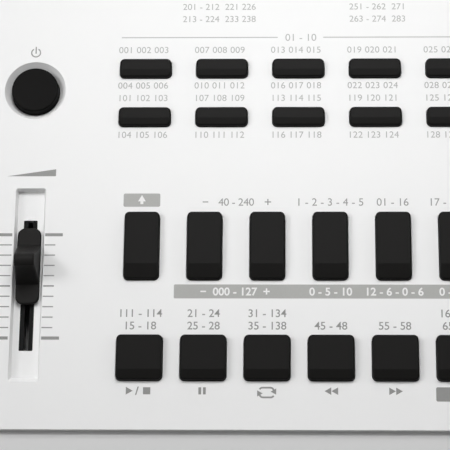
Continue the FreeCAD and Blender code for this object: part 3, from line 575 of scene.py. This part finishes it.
def addDish(shape, x, y):  # closed ring under the power button's opening
    low, deep = panel["dishLow"], panel["dishDeep"]
    across, up = panel["dishFoot"]
    lap = panel["dishTop"] + panel["overlap"]
    profile = [(lap, -panel["rim"]), (low + across, up - deep), (low, -deep - up)]
    profile += [(low, -panel["thick"]), (lap, -panel["thick"]), (lap, -panel["rim"])]
    turnProfile(shape, x, y, profile, panel["dishSteps"])


def makePanel():
    button = deckMiddle("power_button")
    shape = roundPlate(panelOutlines(button), 0, panel["thick"], panel["rim"])
    sunk = bmesh.new()
    addChannel(sunk, button.x)
    addDish(sunk, button.x, button.y)
    bmesh.ops.remove_doubles(sunk, verts=sunk.verts, dist=weld["turned"])
    bmesh.ops.recalc_face_normals(sunk, faces=sunk.faces)
    joinInto(shape, sunk)
    replaced = ("control_panel",)
    addPiece("control_panel_plate", shape, "instrument_body", "white_panel", replaced=replaced, angle=12.0)


def makeDustLips():  # two rubber strips in the slot
    x = deckMiddle("power_button").x
    shape = bmesh.new()
    gap, top, low = panel["lip"]
    half = panel["slot"][0] / 2
    for side in (-1, 1):
        place = (x + side * (gap + half) / 2, panel["slotAt"], (top + low) / 2)
        addBlock(shape, place, (half - gap, panel["slot"][1], top - low))
    addPiece("fader_dust_lips", shape, "instrument_body", "rubber", finish=ownFinishes["lips"])


makePanel()
makeDustLips()
print("control panel made")

# Power button: a turned crown, slightly hollow for the finger, with a soft shoulder
powerCap = {
    "radius": 6.42,
    "crown": 0.7,
    "shoulder": 0.45,
    "shoulderSteps": 6,
    "hollow": 0.15,
    "hollowSteps": 4,
    "steps": 72,
}


def makePowerButton():
    low, high = deckBox("power_button")
    middle = (low + high) / 2
    radius, turn, crown = powerCap["radius"], powerCap["shoulder"], powerCap["crown"]
    flat = radius - turn
    shares = [step / powerCap["hollowSteps"] for step in range(powerCap["hollowSteps"])]
    profile = [(flat * share, crown - powerCap["hollow"] * (1 - share * share)) for share in shares]
    for step in range(powerCap["shoulderSteps"] + 1):
        angle = math.pi / 2 * (1 - step / powerCap["shoulderSteps"])
        profile.append((flat + turn * math.cos(angle), crown - turn * (1 - math.sin(angle))))
    profile.append((radius, cap["under"]))
    shape = bmesh.new()
    turnProfile(shape, middle.x, middle.y, profile, powerCap["steps"])
    bmesh.ops.remove_doubles(shape, verts=shape.verts, dist=weld["turned"])
    bmesh.ops.holes_fill(shape, edges=[e for e in shape.edges if e.is_boundary], sides=0)
    bmesh.ops.recalc_face_normals(shape, faces=shape.faces)
    addFoot(shape, middle.x, middle.y, high.x - low.x, high.y - low.y)
    node, finish = "power_button", ownFinishes["power"]
    addPiece("power_button_cap", shape, node, "black_cap", replaced=(node,), finish=finish, angle=40.0)


makePowerButton()
print("power button made")

# Speaker grilles: a field of slots in the case opening, with a flange under the case
grille = {
    "slots": 12,
    "slotWide": 4.5,
    "slotMargin": 8.0,
    "slotEnd": 2.0,
    "corner": 1.2,
    "rim": 0.4,
    "flange": 3.0,
    "flangeCorner": 2.0,
    "flangeRim": 0.2,
    "play": 0.3,
    "top": -0.3,
    "step": -2.6,
    "low": -5.0,
}


def grillePlate(wide, deep):  # one grille about the middle of its opening
    flange, play = 2 * grille["flange"], 2 * grille["play"]
    slotDeep = deep - 2 * grille["slotMargin"]
    slots = []
    for number in range(grille["slots"]):
        x = round(wide * ((number + 1) / (grille["slots"] + 1) - 0.5), 2)
        slots.append((x, 0, grille["slotWide"], slotDeep, grille["slotEnd"]))
    top, step, low = grille["top"], grille["step"], grille["low"]
    face = (0, 0, wide - play, deep - play, grille["corner"])
    shape = roundPlate([face] + slots, top, top - step, grille["rim"])
    under = (0, 0, wide + flange, deep + flange, grille["flangeCorner"])
    joinInto(shape, roundPlate([under] + slots, step, step - low, grille["flangeRim"]))
    return shape


def makeGrilles():
    low, high = deckBox("speaker_grilles")
    flange = grille["flange"]
    inner = min(v.co.x for v in frame["nodes"]["speaker_grilles"].data.vertices if v.co.x > 0) / mm
    wide, deep = round(high.x - inner - 2 * flange, 2), round(high.y - low.y - 2 * flange, 2)
    shape = bmesh.new()
    for side in (-1, 1):
        part = grillePlate(wide, deep)
        place = (side * (high.x + inner) / 2, (low.y + high.y) / 2, 0)
        bmesh.ops.translate(part, vec=place, verts=part.verts)
        joinInto(shape, part)
    addPiece("speaker_grille_bars", shape, "instrument_body", "grille", replaced=("speaker_grilles",))


makeGrilles()
print("grilles made")

# Pieces whose CAD form only needs its edges eased
eased = {  # edge radius in millimetres, segments, places of cuts through openings
    "upper_case": (0.8, 3, (-372.0, 0.0, 372.0)),
    "lower_case": (0.8, 3, (-465.7, -189.8, -41.3, 190.2, 466.1)),
    "rubber_feet": (0.8, 3),
    "rear_jack_panel": (0.25, 2, (-99.8, -61.7, -19.8, 15.2)),
}
for octave in range(1, 6):
    eased["natural_comb_cegb_%d" % octave] = (0.7, 3)
    eased["natural_comb_dfa_%d" % octave] = (0.7, 3)
    eased["sharp_comb_%d" % octave] = (1.2, 3)
for node, easing in eased.items():
    softened(node, *easing)
print("eased pieces made:", len(eased))


# Fader cap: the CAD form, with small fillets in the folds where the fin meets the base
fader = {"foldAngle": 40.0, "foldEdge": 0.5, "foldSteps": 5}


def makeFader():
    source = frame["nodes"]["volume_fader"]
    shape = bmesh.new()
    shape.from_mesh(source.data)
    bmesh.ops.transform(shape, matrix=deckMm.inverted(), verts=shape.verts)
    bmesh.ops.remove_doubles(shape, verts=shape.verts, dist=weld["cad"])
    bmesh.ops.dissolve_limit(shape, angle_limit=flatWithin, verts=shape.verts, edges=shape.edges)
    sharp = math.radians(fader["foldAngle"])
    folds = [e for e in shape.edges if e.calc_face_angle_signed(0.0) > sharp]
    bevelEdges(shape, folds, fader["foldEdge"], fader["foldSteps"])
    node, finish = "volume_fader", ownFinishes["fader"]
    addPiece("volume_fader_cap", shape, node, "black_cap", replaced=(node,), finish=finish)


makeFader()
print("fader made")

# Rings screwed round the two jack sockets, on the rear plate
socketRing = {
    "x": (-20.0, 15.0),
    "y": 189.0,
    "z": 21.0,
    "bore": 3.25,
    "radius": 5.6,
    "thick": 1.0,
    "chamfer": 0.3,
    "steps": 48,
}


def makeSocketRings():
    shape = bmesh.new()
    bore, radius = socketRing["bore"], socketRing["radius"]
    thick, cut = socketRing["thick"], socketRing["chamfer"]
    profile = [(bore, 0.0), (radius, 0.0), (radius, thick - cut), (radius - cut, thick)]
    profile += [(bore + cut, thick), (bore, thick - cut), (bore, 0.0)]
    rearward = Matrix.Rotation(math.radians(-90), 4, "X")
    for x in socketRing["x"]:
        part = bmesh.new()
        turnProfile(part, 0, 0, profile, socketRing["steps"])
        bmesh.ops.remove_doubles(part, verts=part.verts, dist=weld["turned"])
        bmesh.ops.recalc_face_normals(part, faces=part.faces)
        place = Matrix.Translation((x, socketRing["y"], socketRing["z"]))
        bmesh.ops.transform(part, matrix=place @ rearward, verts=part.verts)
        joinInto(shape, part)
    addPiece("jack_socket_rings", shape, "instrument_body", "steel", place=worldMm)


makeSocketRings()
print("socket rings made")

# Printed legends, in deck millimetres; x counts from the middle of the photographed block
ink = {
    "thick": 0.02,
    "digit": 2.12,  # heights of the numbers
    "small": 1.85,
    "bold": 0.007,  # how far the strokes are thickened
    "keypadBold": 0.008,
    "slashBold": 0.02,
    "whiteBold": 0.022,
    "arcSteps": 24,
    "cornerSteps": 3,
    "middleX": -184.0,
}


def measureDigit():
    font = bpy.data.curves.new("measure", "FONT")
    font.body = "0"
    mesh = curveMesh(font)
    tall = max(v.co.y for v in mesh.vertices) - min(v.co.y for v in mesh.vertices)
    bpy.data.meshes.remove(mesh)
    return tall


digitHeight = measureDigit()


def addText(shape, words, x, y, height, align="CENTER", bold=0.0, spacing=1.0):
    font = bpy.data.curves.new("words", "FONT")
    font.body = words
    font.align_x = align
    font.offset = bold
    font.space_character = spacing
    mesh = curveMesh(font)
    mesh.transform(Matrix.Translation((x, y - height / 2, 0)) @ Matrix.Scale(height / digitHeight, 4))
    shape.from_mesh(mesh)
    bpy.data.meshes.remove(mesh)


def addBar(shape, left, right, low, high, corner=0.0):
    made = bmesh.ops.create_grid(shape, x_segments=1, y_segments=1, size=0.5)["verts"]
    bmesh.ops.scale(shape, vec=(right - left, high - low, 1), verts=made)
    bmesh.ops.translate(shape, vec=((left + right) / 2, (low + high) / 2, 0), verts=made)
    if corner:
        bmesh.ops.bevel(
            shape, geom=made, offset=corner, offset_type="OFFSET", segments=ink["cornerSteps"], profile=0.5,
            affect="VERTICES", material=-1,
        )


def addMinus(shape, x, y, half=0.75, stroke=0.3):
    addBar(shape, x - half, x + half, y - stroke / 2, y + stroke / 2)


def addPlus(shape, x, y, half=0.85, stroke=0.3):
    addMinus(shape, x, y, half, stroke)
    addBar(shape, x - stroke / 2, x + stroke / 2, y + stroke / 2, y + half)
    addBar(shape, x - stroke / 2, x + stroke / 2, y - half, y - stroke / 2)


def addTriangle(shape, x, y, size, turn):  # solid arrow head that points along turn, in degrees
    place = Matrix.Translation((x, y, 0)) @ Matrix.Rotation(math.radians(turn - 90), 4, "Z")
    bmesh.ops.create_circle(shape, cap_ends=True, segments=3, radius=size, matrix=place)


def addArc(shape, x, y, radius, wide, start, sweep, squash=1.0):  # flat ring sector
    part = bmesh.new()
    ends = [part.verts.new((r, 0, 0)) for r in (radius - wide / 2, radius + wide / 2)]
    line = part.edges.new(ends)
    angle, steps = math.radians(sweep), ink["arcSteps"]
    bmesh.ops.spin(part, geom=ends + [line], cent=(0, 0, 0), axis=(0, 0, 1), angle=angle, steps=steps)
    place = Matrix.Translation((x, y, 0)) @ Matrix.Diagonal((1, squash, 1, 1))
    bmesh.ops.transform(part, matrix=place @ Matrix.Rotation(math.radians(start), 4, "Z"), verts=part.verts)
    joinInto(shape, part)


def layInk(name, shape, base, kind):
    for face in shape.faces:
        if face.normal.z < 0:
            face.normal_flip()
    bmesh.ops.remove_doubles(shape, verts=shape.verts, dist=weld["print"])
    lifted = bmesh.ops.extrude_face_region(shape, geom=shape.faces[:])
    raised = [v for v in lifted["geom"] if isinstance(v, bmesh.types.BMVert)]
    bmesh.ops.translate(shape, vec=(0, 0, ink["thick"]), verts=raised)
    bmesh.ops.recalc_face_normals(shape, faces=shape.faces)
    bmesh.ops.translate(shape, vec=(0, 0, base), verts=shape.verts)
    addPiece(name, shape, "instrument_body", "white_panel", finish=inks[kind])


# Volume scale: eleven ticks each side of the channel
volumeScale = {
    "top": 53.3, "low": 24.6, "count": 11, "thin": 0.3, "middle": 0.42, "thick": 0.85,
    "right": (-63.75, -60.9, -59.0), "left": (-72.6, -76.6, -78.6),
}


def addScale(shape):
    top, low, last = volumeScale["top"], volumeScale["low"], volumeScale["count"] - 1
    strokes = {0: "thick", last // 2: "middle", last: "thick"}
    for tick in range(last + 1):
        y = top + (low - top) * tick / last
        stroke = strokes.get(tick, "thin")
        half = volumeScale[stroke] / 2
        for near, short, long in (volumeScale["right"], volumeScale["left"]):
            ends = sorted((near, long if stroke == "thick" else short))
            addBar(shape, ink["middleX"] + ends[0], ink["middleX"] + ends[1], y - half, y + half)


# Rows of print, by height up the panel
rows = {
    "list": (120.1, 116.4), "rule": 110.8, "above": (107.1, 92.8), "below": (96.5, 82.0),
    "volume": 71.0, "power": 106.33, "tall": 62.6, "tallBox": (61.25, 65.0), "bar": (35.55, 39.4),
    "first": 31.5, "second": 28.1, "icon": 10.4, "iconBox": (7.7, 11.5),
}


styleLabel = {"aside": -0.55, "spacing": 1.04, "columns": 5, "perLine": 3, "perRow": 100}


def addStyleLabels(shape, places):  # three preset numbers above and below each small button
    left = styleLabel["aside"] - capSize(styleNodes[0])[0] / 2
    count, spacing = styleLabel["perLine"], styleLabel["spacing"]
    for number, place in enumerate(places):
        row, column = divmod(number, styleLabel["columns"])
        for line, height in enumerate((rows["above"][row], rows["below"][row])):
            first = 1 + count * (2 * column + line) + styleLabel["perRow"] * row
            words = " ".join("%03d" % (first + step) for step in range(count))
            addText(shape, words, place[0] + left, height, ink["small"], "LEFT", spacing=spacing)


powerSign = {"aside": -0.22, "radius": 1.23, "stroke": 0.34, "arc": (120, 300), "stem": (-0.25, 1.8)}


def addPowerSign(shape):  # an open ring with an upright stroke in its gap
    x, y = deckMiddle("power_button").x + powerSign["aside"], rows["power"]
    stroke = powerSign["stroke"]
    addArc(shape, x, y, powerSign["radius"], stroke, *powerSign["arc"])
    low, high = powerSign["stem"]
    addBar(shape, x - stroke / 2, x + stroke / 2, y + low, y + high)


# Repeat sign: two strokes, each with a bent tail and a bend into its arrow head
repeat = {
    "ends": (-1.05, 0.95), "rise": 1.3, "corner": 0.9, "stroke": 0.46, "tail": 60, "bend": 75,
    "head": (2.0, 0.25), "headSize": 0.95,
}


def addRepeat(shape, x, y):
    half, corner = repeat["stroke"] / 2, repeat["corner"]
    bend = repeat["rise"] - corner
    for side, turn in ((1, 0), (-1, 180)):  # the lower stroke is the upper one, half a turn round
        tail, front = (side * end for end in repeat["ends"])
        level = y + side * repeat["rise"]
        addBar(shape, x + min(tail, front), x + max(tail, front), level - half, level + half)
        addArc(shape, x + tail, y + side * bend, corner, 2 * half, 90 + turn, repeat["tail"])
        start = 90 - repeat["bend"] + turn
        addArc(shape, x + front, y + side * bend, corner, 2 * half, start, repeat["bend"])
        headX, headY = repeat["head"]
        addTriangle(shape, x + side * headX, y + side * headY, repeat["headSize"], 300 + turn)


# Transport signs, placed from the middle of each square button
transport = {
    "half": 0.95,  # half the height of the stop square and the pause bars
    "play": (-2.7, 1.2),  # place, size
    "slash": -0.4,
    "stop": (1.2, 3.1),
    "pause": (-0.75, 0.45),
    "pauseHalf": 0.36,
    "repeat": (-0.1, -0.4),
    "skip": (0.25, -0.3),  # back, forward
    "skipHead": (0.9, 1.15),  # half the pitch of two heads, size
}


def addTransport(shape, squares):  # play and stop, pause, repeat, back and forward
    y, half = rows["icon"], transport["half"]
    play, pause, again, back, forward = (square.x for square in squares[:5])
    aside, size = transport["play"]
    addTriangle(shape, play + aside, y, size, 0)
    addText(shape, "/", play + transport["slash"], y, ink["digit"], bold=ink["slashBold"])
    left, right = transport["stop"]
    addBar(shape, play + left, play + right, y - half, y + half)
    thin = transport["pauseHalf"]
    for aside in transport["pause"]:
        addBar(shape, pause + aside - thin, pause + aside + thin, y - half, y + half)
    aside, rise = transport["repeat"]
    addRepeat(shape, again + aside, y + rise)
    pitch, size = transport["skipHead"]
    for x, aside, turn in zip((back, forward), transport["skip"], (180, 0)):
        for side in (-pitch, pitch):
            addTriangle(shape, x + aside + side, y, size, turn)


# Rule over the small buttons, and the number lists above it, from the middle of the block
heading = {
    "rule": ((-44.6, -1.4), (11.2, 55.2)),
    "ruleHalf": 0.13,
    "title": ("01 - 10", 5.0),
    "firstNumber": 201,
    "perLine": 12,
    "lists": (  # place, form, numbers counted from the first of the line
        (-27.8, "%d - %d  %d %d", (0, 11, 20, 25)),
        (18.4, "%d - %d  %d", (50, 61, 70)),
    ),
}


def addHeading(shape):
    at, half = ink["middleX"], heading["ruleHalf"]
    for left, right in heading["rule"]:
        addBar(shape, at + left, at + right, rows["rule"] - half, rows["rule"] + half)
    words, aside = heading["title"]
    addText(shape, words, at + aside, rows["rule"], ink["digit"])
    for number, height in enumerate(rows["list"]):
        first = heading["firstNumber"] + heading["perLine"] * number
        for aside, form, steps in heading["lists"]:
            words = form % tuple(first + step for step in steps)
            addText(shape, words, at + aside, height, ink["small"], "LEFT")


# Tall buttons: an arrow in a box, signs and numbers above, white numbers on a bar below
tallPrint = {
    "box": (-5.2, 4.7),
    "boxCorner": 0.4,
    "arrow": (-0.25, 0.25, 1.2),  # place, size
    "arrowStem": (-0.65, 0.15, -1.15, -0.35),  # left, right, low, high
    "signAside": 0.1,
    "above": ("40 - 240", "1 - 2 - 3 - 4 - 5", "01 - 16", "17 - 18 - 20"),
    "firstSpacing": 0.95,
    "bar": (-28.9, 55.2),
    "barCorner": 0.3,
    "barAside": -0.2,
    "barStroke": 0.4,
    "onBar": ("000 - 127", "0 - 5 - 10", "12 - 6 - 0 - 6", "0 - 1 - 2"),
}


def addArrowBox(bars, white, x):
    left, right = tallPrint["box"]
    addBar(bars, x + left, x + right, *rows["tallBox"], tallPrint["boxCorner"])
    middle = sum(rows["tallBox"]) / 2
    aside, rise, size = tallPrint["arrow"]
    addTriangle(white, x + aside, middle + rise, size, 90)
    left, right, low, high = tallPrint["arrowStem"]
    addBar(white, x + left, x + right, middle + low, middle + high)


def addTallPrint(grey, bars, white):
    shift, down, up, *others = (deckMiddle(node).x for node in tallNodes)
    tempo = (down + up) / 2
    digit, row = ink["digit"], rows["tall"]
    addArrowBox(bars, white, shift)
    addMinus(grey, down + tallPrint["signAside"], row)
    addPlus(grey, up + tallPrint["signAside"], row)
    first, *rest = tallPrint["above"]
    addText(grey, first, tempo, row, digit, spacing=tallPrint["firstSpacing"])
    for words, x in zip(rest, others):
        addText(grey, words, x, row, digit)
    at, row = ink["middleX"], sum(rows["bar"]) / 2
    left, right = tallPrint["bar"]
    addBar(bars, at + left, at + right, *rows["bar"], tallPrint["barCorner"])
    aside, stroke = tallPrint["barAside"], tallPrint["barStroke"]
    addMinus(white, down + aside, row, stroke=stroke)
    addPlus(white, up + aside, row, stroke=stroke)
    for words, x in zip(tallPrint["onBar"], [tempo + aside] + others):
        addText(white, words, x, row, digit, bold=ink["whiteBold"])


# Square buttons: numbers above, the line next to the button first, and a box under the last one
squarePrint = {
    "words": (
        ("15 - 18", "111 - 114"), ("25 - 28", "21 - 24"), ("35 - 138", "31 - 134"),
        ("45 - 48",), ("55 - 58",), ("65 - 68", "161 - 64"),
    ),
    "box": (-6.4, 6.1),
    "boxCorner": 0.4,
    "boxWords": "1 - 4",
}


def addSquarePrint(grey, white):
    squares = [deckMiddle(node) for node in squareNodes]
    for place, lines in zip(squares, squarePrint["words"]):
        for words, row in zip(lines, ("second", "first")):
            addText(grey, words, place.x, rows[row], ink["digit"], bold=ink["bold"])
    addTransport(grey, squares)
    x = squares[-1].x
    left, right = squarePrint["box"]
    addBar(grey, x + left, x + right, *rows["iconBox"], squarePrint["boxCorner"])
    middle = sum(rows["iconBox"]) / 2
    addText(white, squarePrint["boxWords"], x, middle, ink["digit"], bold=ink["whiteBold"])


# Keypad: one number or sign above each button of the right-hand strip
keypad = {"rise": 2.4, "signs": ("6", "7", "8", "9", "0", "+", "1", "2", "3", "4", "5", "-")}


def addKeypadPrint(shape):
    rise = capSize(squareNodes[0])[1] / 2 + keypad["rise"]
    for (x, y), sign in zip(stripCaps["keypad_buttons"], keypad["signs"]):
        if sign == "+":
            addPlus(shape, x, y + rise)
        elif sign == "-":
            addMinus(shape, x, y + rise)
        else:
            addText(shape, sign, x, y + rise, ink["digit"], bold=ink["keypadBold"])


volumeWedge = ((-6.6, -1.0), (6.6, -1.0), (6.6, 1.0))  # over the fader, from its middle


def makeLegends():
    grey, pale, bars, white = (bmesh.new() for layer in range(4))
    addScale(grey)
    addPowerSign(grey)
    middle = deckMiddle("power_button").x
    grey.faces.new([grey.verts.new((middle + x, rows["volume"] + y, 0)) for x, y in volumeWedge])
    addStyleLabels(pale, [deckMiddle(node)[:2] for node in styleNodes])
    addStyleLabels(pale, sorted(stripCaps["voice_buttons"], key=lambda p: (-p[1], p[0])))
    addHeading(pale)
    addTallPrint(grey, bars, white)
    addSquarePrint(grey, white)
    addKeypadPrint(grey)
    layInk("panel_print_grey", grey, 0.0, "grey")
    layInk("panel_print_pale", pale, 0.0, "pale")
    layInk("panel_print_bars", bars, 0.0, "bar")
    layInk("panel_print_white", white, ink["thick"], "white")


makeLegends()
print("legends printed")

# Display: black mask behind the window, and figures on the glass
display = {
    "glass": (123.2, 45.2),
    "corner": 0.6,
    "rim": 0.05,
    "maskTop": -1.7,
    "maskThick": 1.25,
    "glassTop": -1.79,
    "figures": (("001", -0.25, 0.12, 13.0), ("120", 0.27, 0.16, 9.1)),  # words, shares of the glass, height
    "levels": {"count": 16, "wide": 0.9, "low": -0.42, "gap": 0.6, "tall": (3.0, 6.0), "mix": (5, 7)},
}


def addLevels(shape, middle):  # a row of bars of uneven height
    wide, deep = display["glass"]
    levels = display["levels"]
    step = wide * levels["wide"] / levels["count"]
    low = middle.y + deep * levels["low"]
    short, tall = levels["tall"]
    stride, span = levels["mix"]
    for number in range(levels["count"]):
        left = middle.x - wide * levels["wide"] / 2 + step * number
        high = low + short + (tall - short) * (number * stride % span) / (span - 1)
        addBar(shape, left + levels["gap"], left + step - levels["gap"], low, high)


def makeDisplay():
    low, high = deckBox("display_window")
    middle = (low + high) / 2
    wide, deep = display["glass"]
    outside = (middle.x, middle.y, high.x - low.x, high.y - low.y, display["corner"])
    inside = (middle.x, middle.y, wide, deep, display["corner"])
    mask = roundPlate([outside, inside], display["maskTop"], display["maskThick"], display["rim"])
    addPiece("display_mask", mask, "instrument_body", "socket_black")
    figures = bmesh.new()
    for words, x, y, height in display["figures"]:
        addText(figures, words, middle.x + wide * x, middle.y + deep * y, height)
    addLevels(figures, middle)
    layInk("display_figures", figures, display["glassTop"], "segments")


makeDisplay()
print("display made")

# Stage, light and camera
stage = {"floor": (0.90, 0.90, 0.895), "size": 8.0, "lift": 0.2, "ambient": 0.09}


def floorPaint():  # pale to the eye and in reflections, with no more light on the object
    material = moulded("paleFloor", stage["floor"], 0.7, fine=300.0, bump=0.05)
    tree = material.node_tree
    path = tree.nodes.new("ShaderNodeLightPath")
    seen = path.outputs["Is Camera Ray"]
    for kind in ("Is Glossy Ray", "Is Transmission Ray"):
        seen = mathNode(tree, "MAXIMUM", seen, path.outputs[kind])
    shader = tree.nodes["Principled BSDF"]
    shader.inputs["Emission Color"].default_value = (1.0, 1.0, 1.0, 1.0)
    tree.links.new(mathNode(tree, "MULTIPLY", seen, stage["lift"]), shader.inputs["Emission Strength"])
    return material


def makeFloor():
    shape = bmesh.new()
    bmesh.ops.create_grid(shape, x_segments=1, y_segments=1, size=stage["size"])
    mesh = bpy.data.meshes.new("floor")
    shape.to_mesh(mesh)
    shape.free()
    mesh.materials.append(floorPaint())
    floor = bpy.data.objects.new("floor", mesh)
    scene.collection.objects.link(floor)


softboxes = {
    "overheadSoftbox": {
        "spot": (-0.18, 0.20, 0.52), "aim": (-0.18, 0.04, 0.09), "size": (0.25, 0.18), "power": 1.25,
    },
    "leftSoftbox": {"spot": (-2.4, 0.2, 2.3), "aim": (-0.15, 0.03, 0.09), "size": (1.1, 1.1), "power": 31.5},
    "rightSoftbox": {"spot": (1.3, 0.25, 0.8), "aim": (0.35, 0.0, 0.07), "size": (0.6, 0.4), "power": 3.5},
    "fillSoftbox": {"spot": (-0.9, -0.9, 1.3), "aim": (0.1, 0.0, 0.05), "size": (1.4, 1.4), "power": 2.5},
    "rearSoftbox": {"spot": (0.1, 3.4, 1.2), "aim": (0.1, 0.19, 0.05), "size": (2.0, 0.8), "power": 13.0},
}


def addSoftbox(name, spot, aim, size, power):
    lamp = bpy.data.lights.new(name, "AREA")
    lamp.shape = "RECTANGLE"
    lamp.size, lamp.size_y = size
    lamp.energy = power
    holder = bpy.data.objects.new(name, lamp)
    holder.location = spot
    holder.rotation_euler = (Vector(spot) - Vector(aim)).to_track_quat("Z", "Y").to_euler()
    scene.collection.objects.link(holder)


view = {
    "above": (-184.0, 56.06),  # deck point that the camera leans out from
    "tilt": 18.5,
    "away": 536.5,
    "aim": (-199.48, 56.06),
    "roll": 0.553,
    "lens": 160.1,
    "sensor": 36.0,
    "near": 0.01,
}


def makeCamera():
    tilt = math.radians(view["tilt"])
    lean = Vector((0, -math.sin(tilt), math.cos(tilt)))
    spot = deckMm @ (Vector((*view["above"], 0)) + lean * view["away"])
    back = (spot - deckMm @ Vector((*view["aim"], 0))).normalized()
    right = (deckMm.to_3x3() @ Vector((0, 1, 0))).cross(back).normalized()
    turn = Matrix((right, back.cross(right), back)).transposed()
    lens = bpy.data.cameras.new("camera")
    lens.lens = view["lens"]
    lens.sensor_width = view["sensor"]
    lens.clip_start = view["near"]
    holder = bpy.data.objects.new("camera", lens)
    holder.location = spot
    holder.rotation_euler = (turn @ Matrix.Rotation(math.radians(view["roll"]), 3, "Z")).to_euler()
    scene.collection.objects.link(holder)
    scene.camera = holder


def makeWorld():
    world = bpy.data.worlds.new("studio")
    world.use_nodes = True
    background = world.node_tree.nodes["Background"]
    background.inputs["Color"].default_value = (1.0, 1.0, 1.0, 1.0)
    background.inputs["Strength"].default_value = stage["ambient"]
    scene.world = world


makeFloor()
for name, lamp in softboxes.items():
    addSoftbox(name, **lamp)
makeCamera()
makeWorld()
scene.view_settings.view_transform = "Standard"
print("stage, light and camera set")
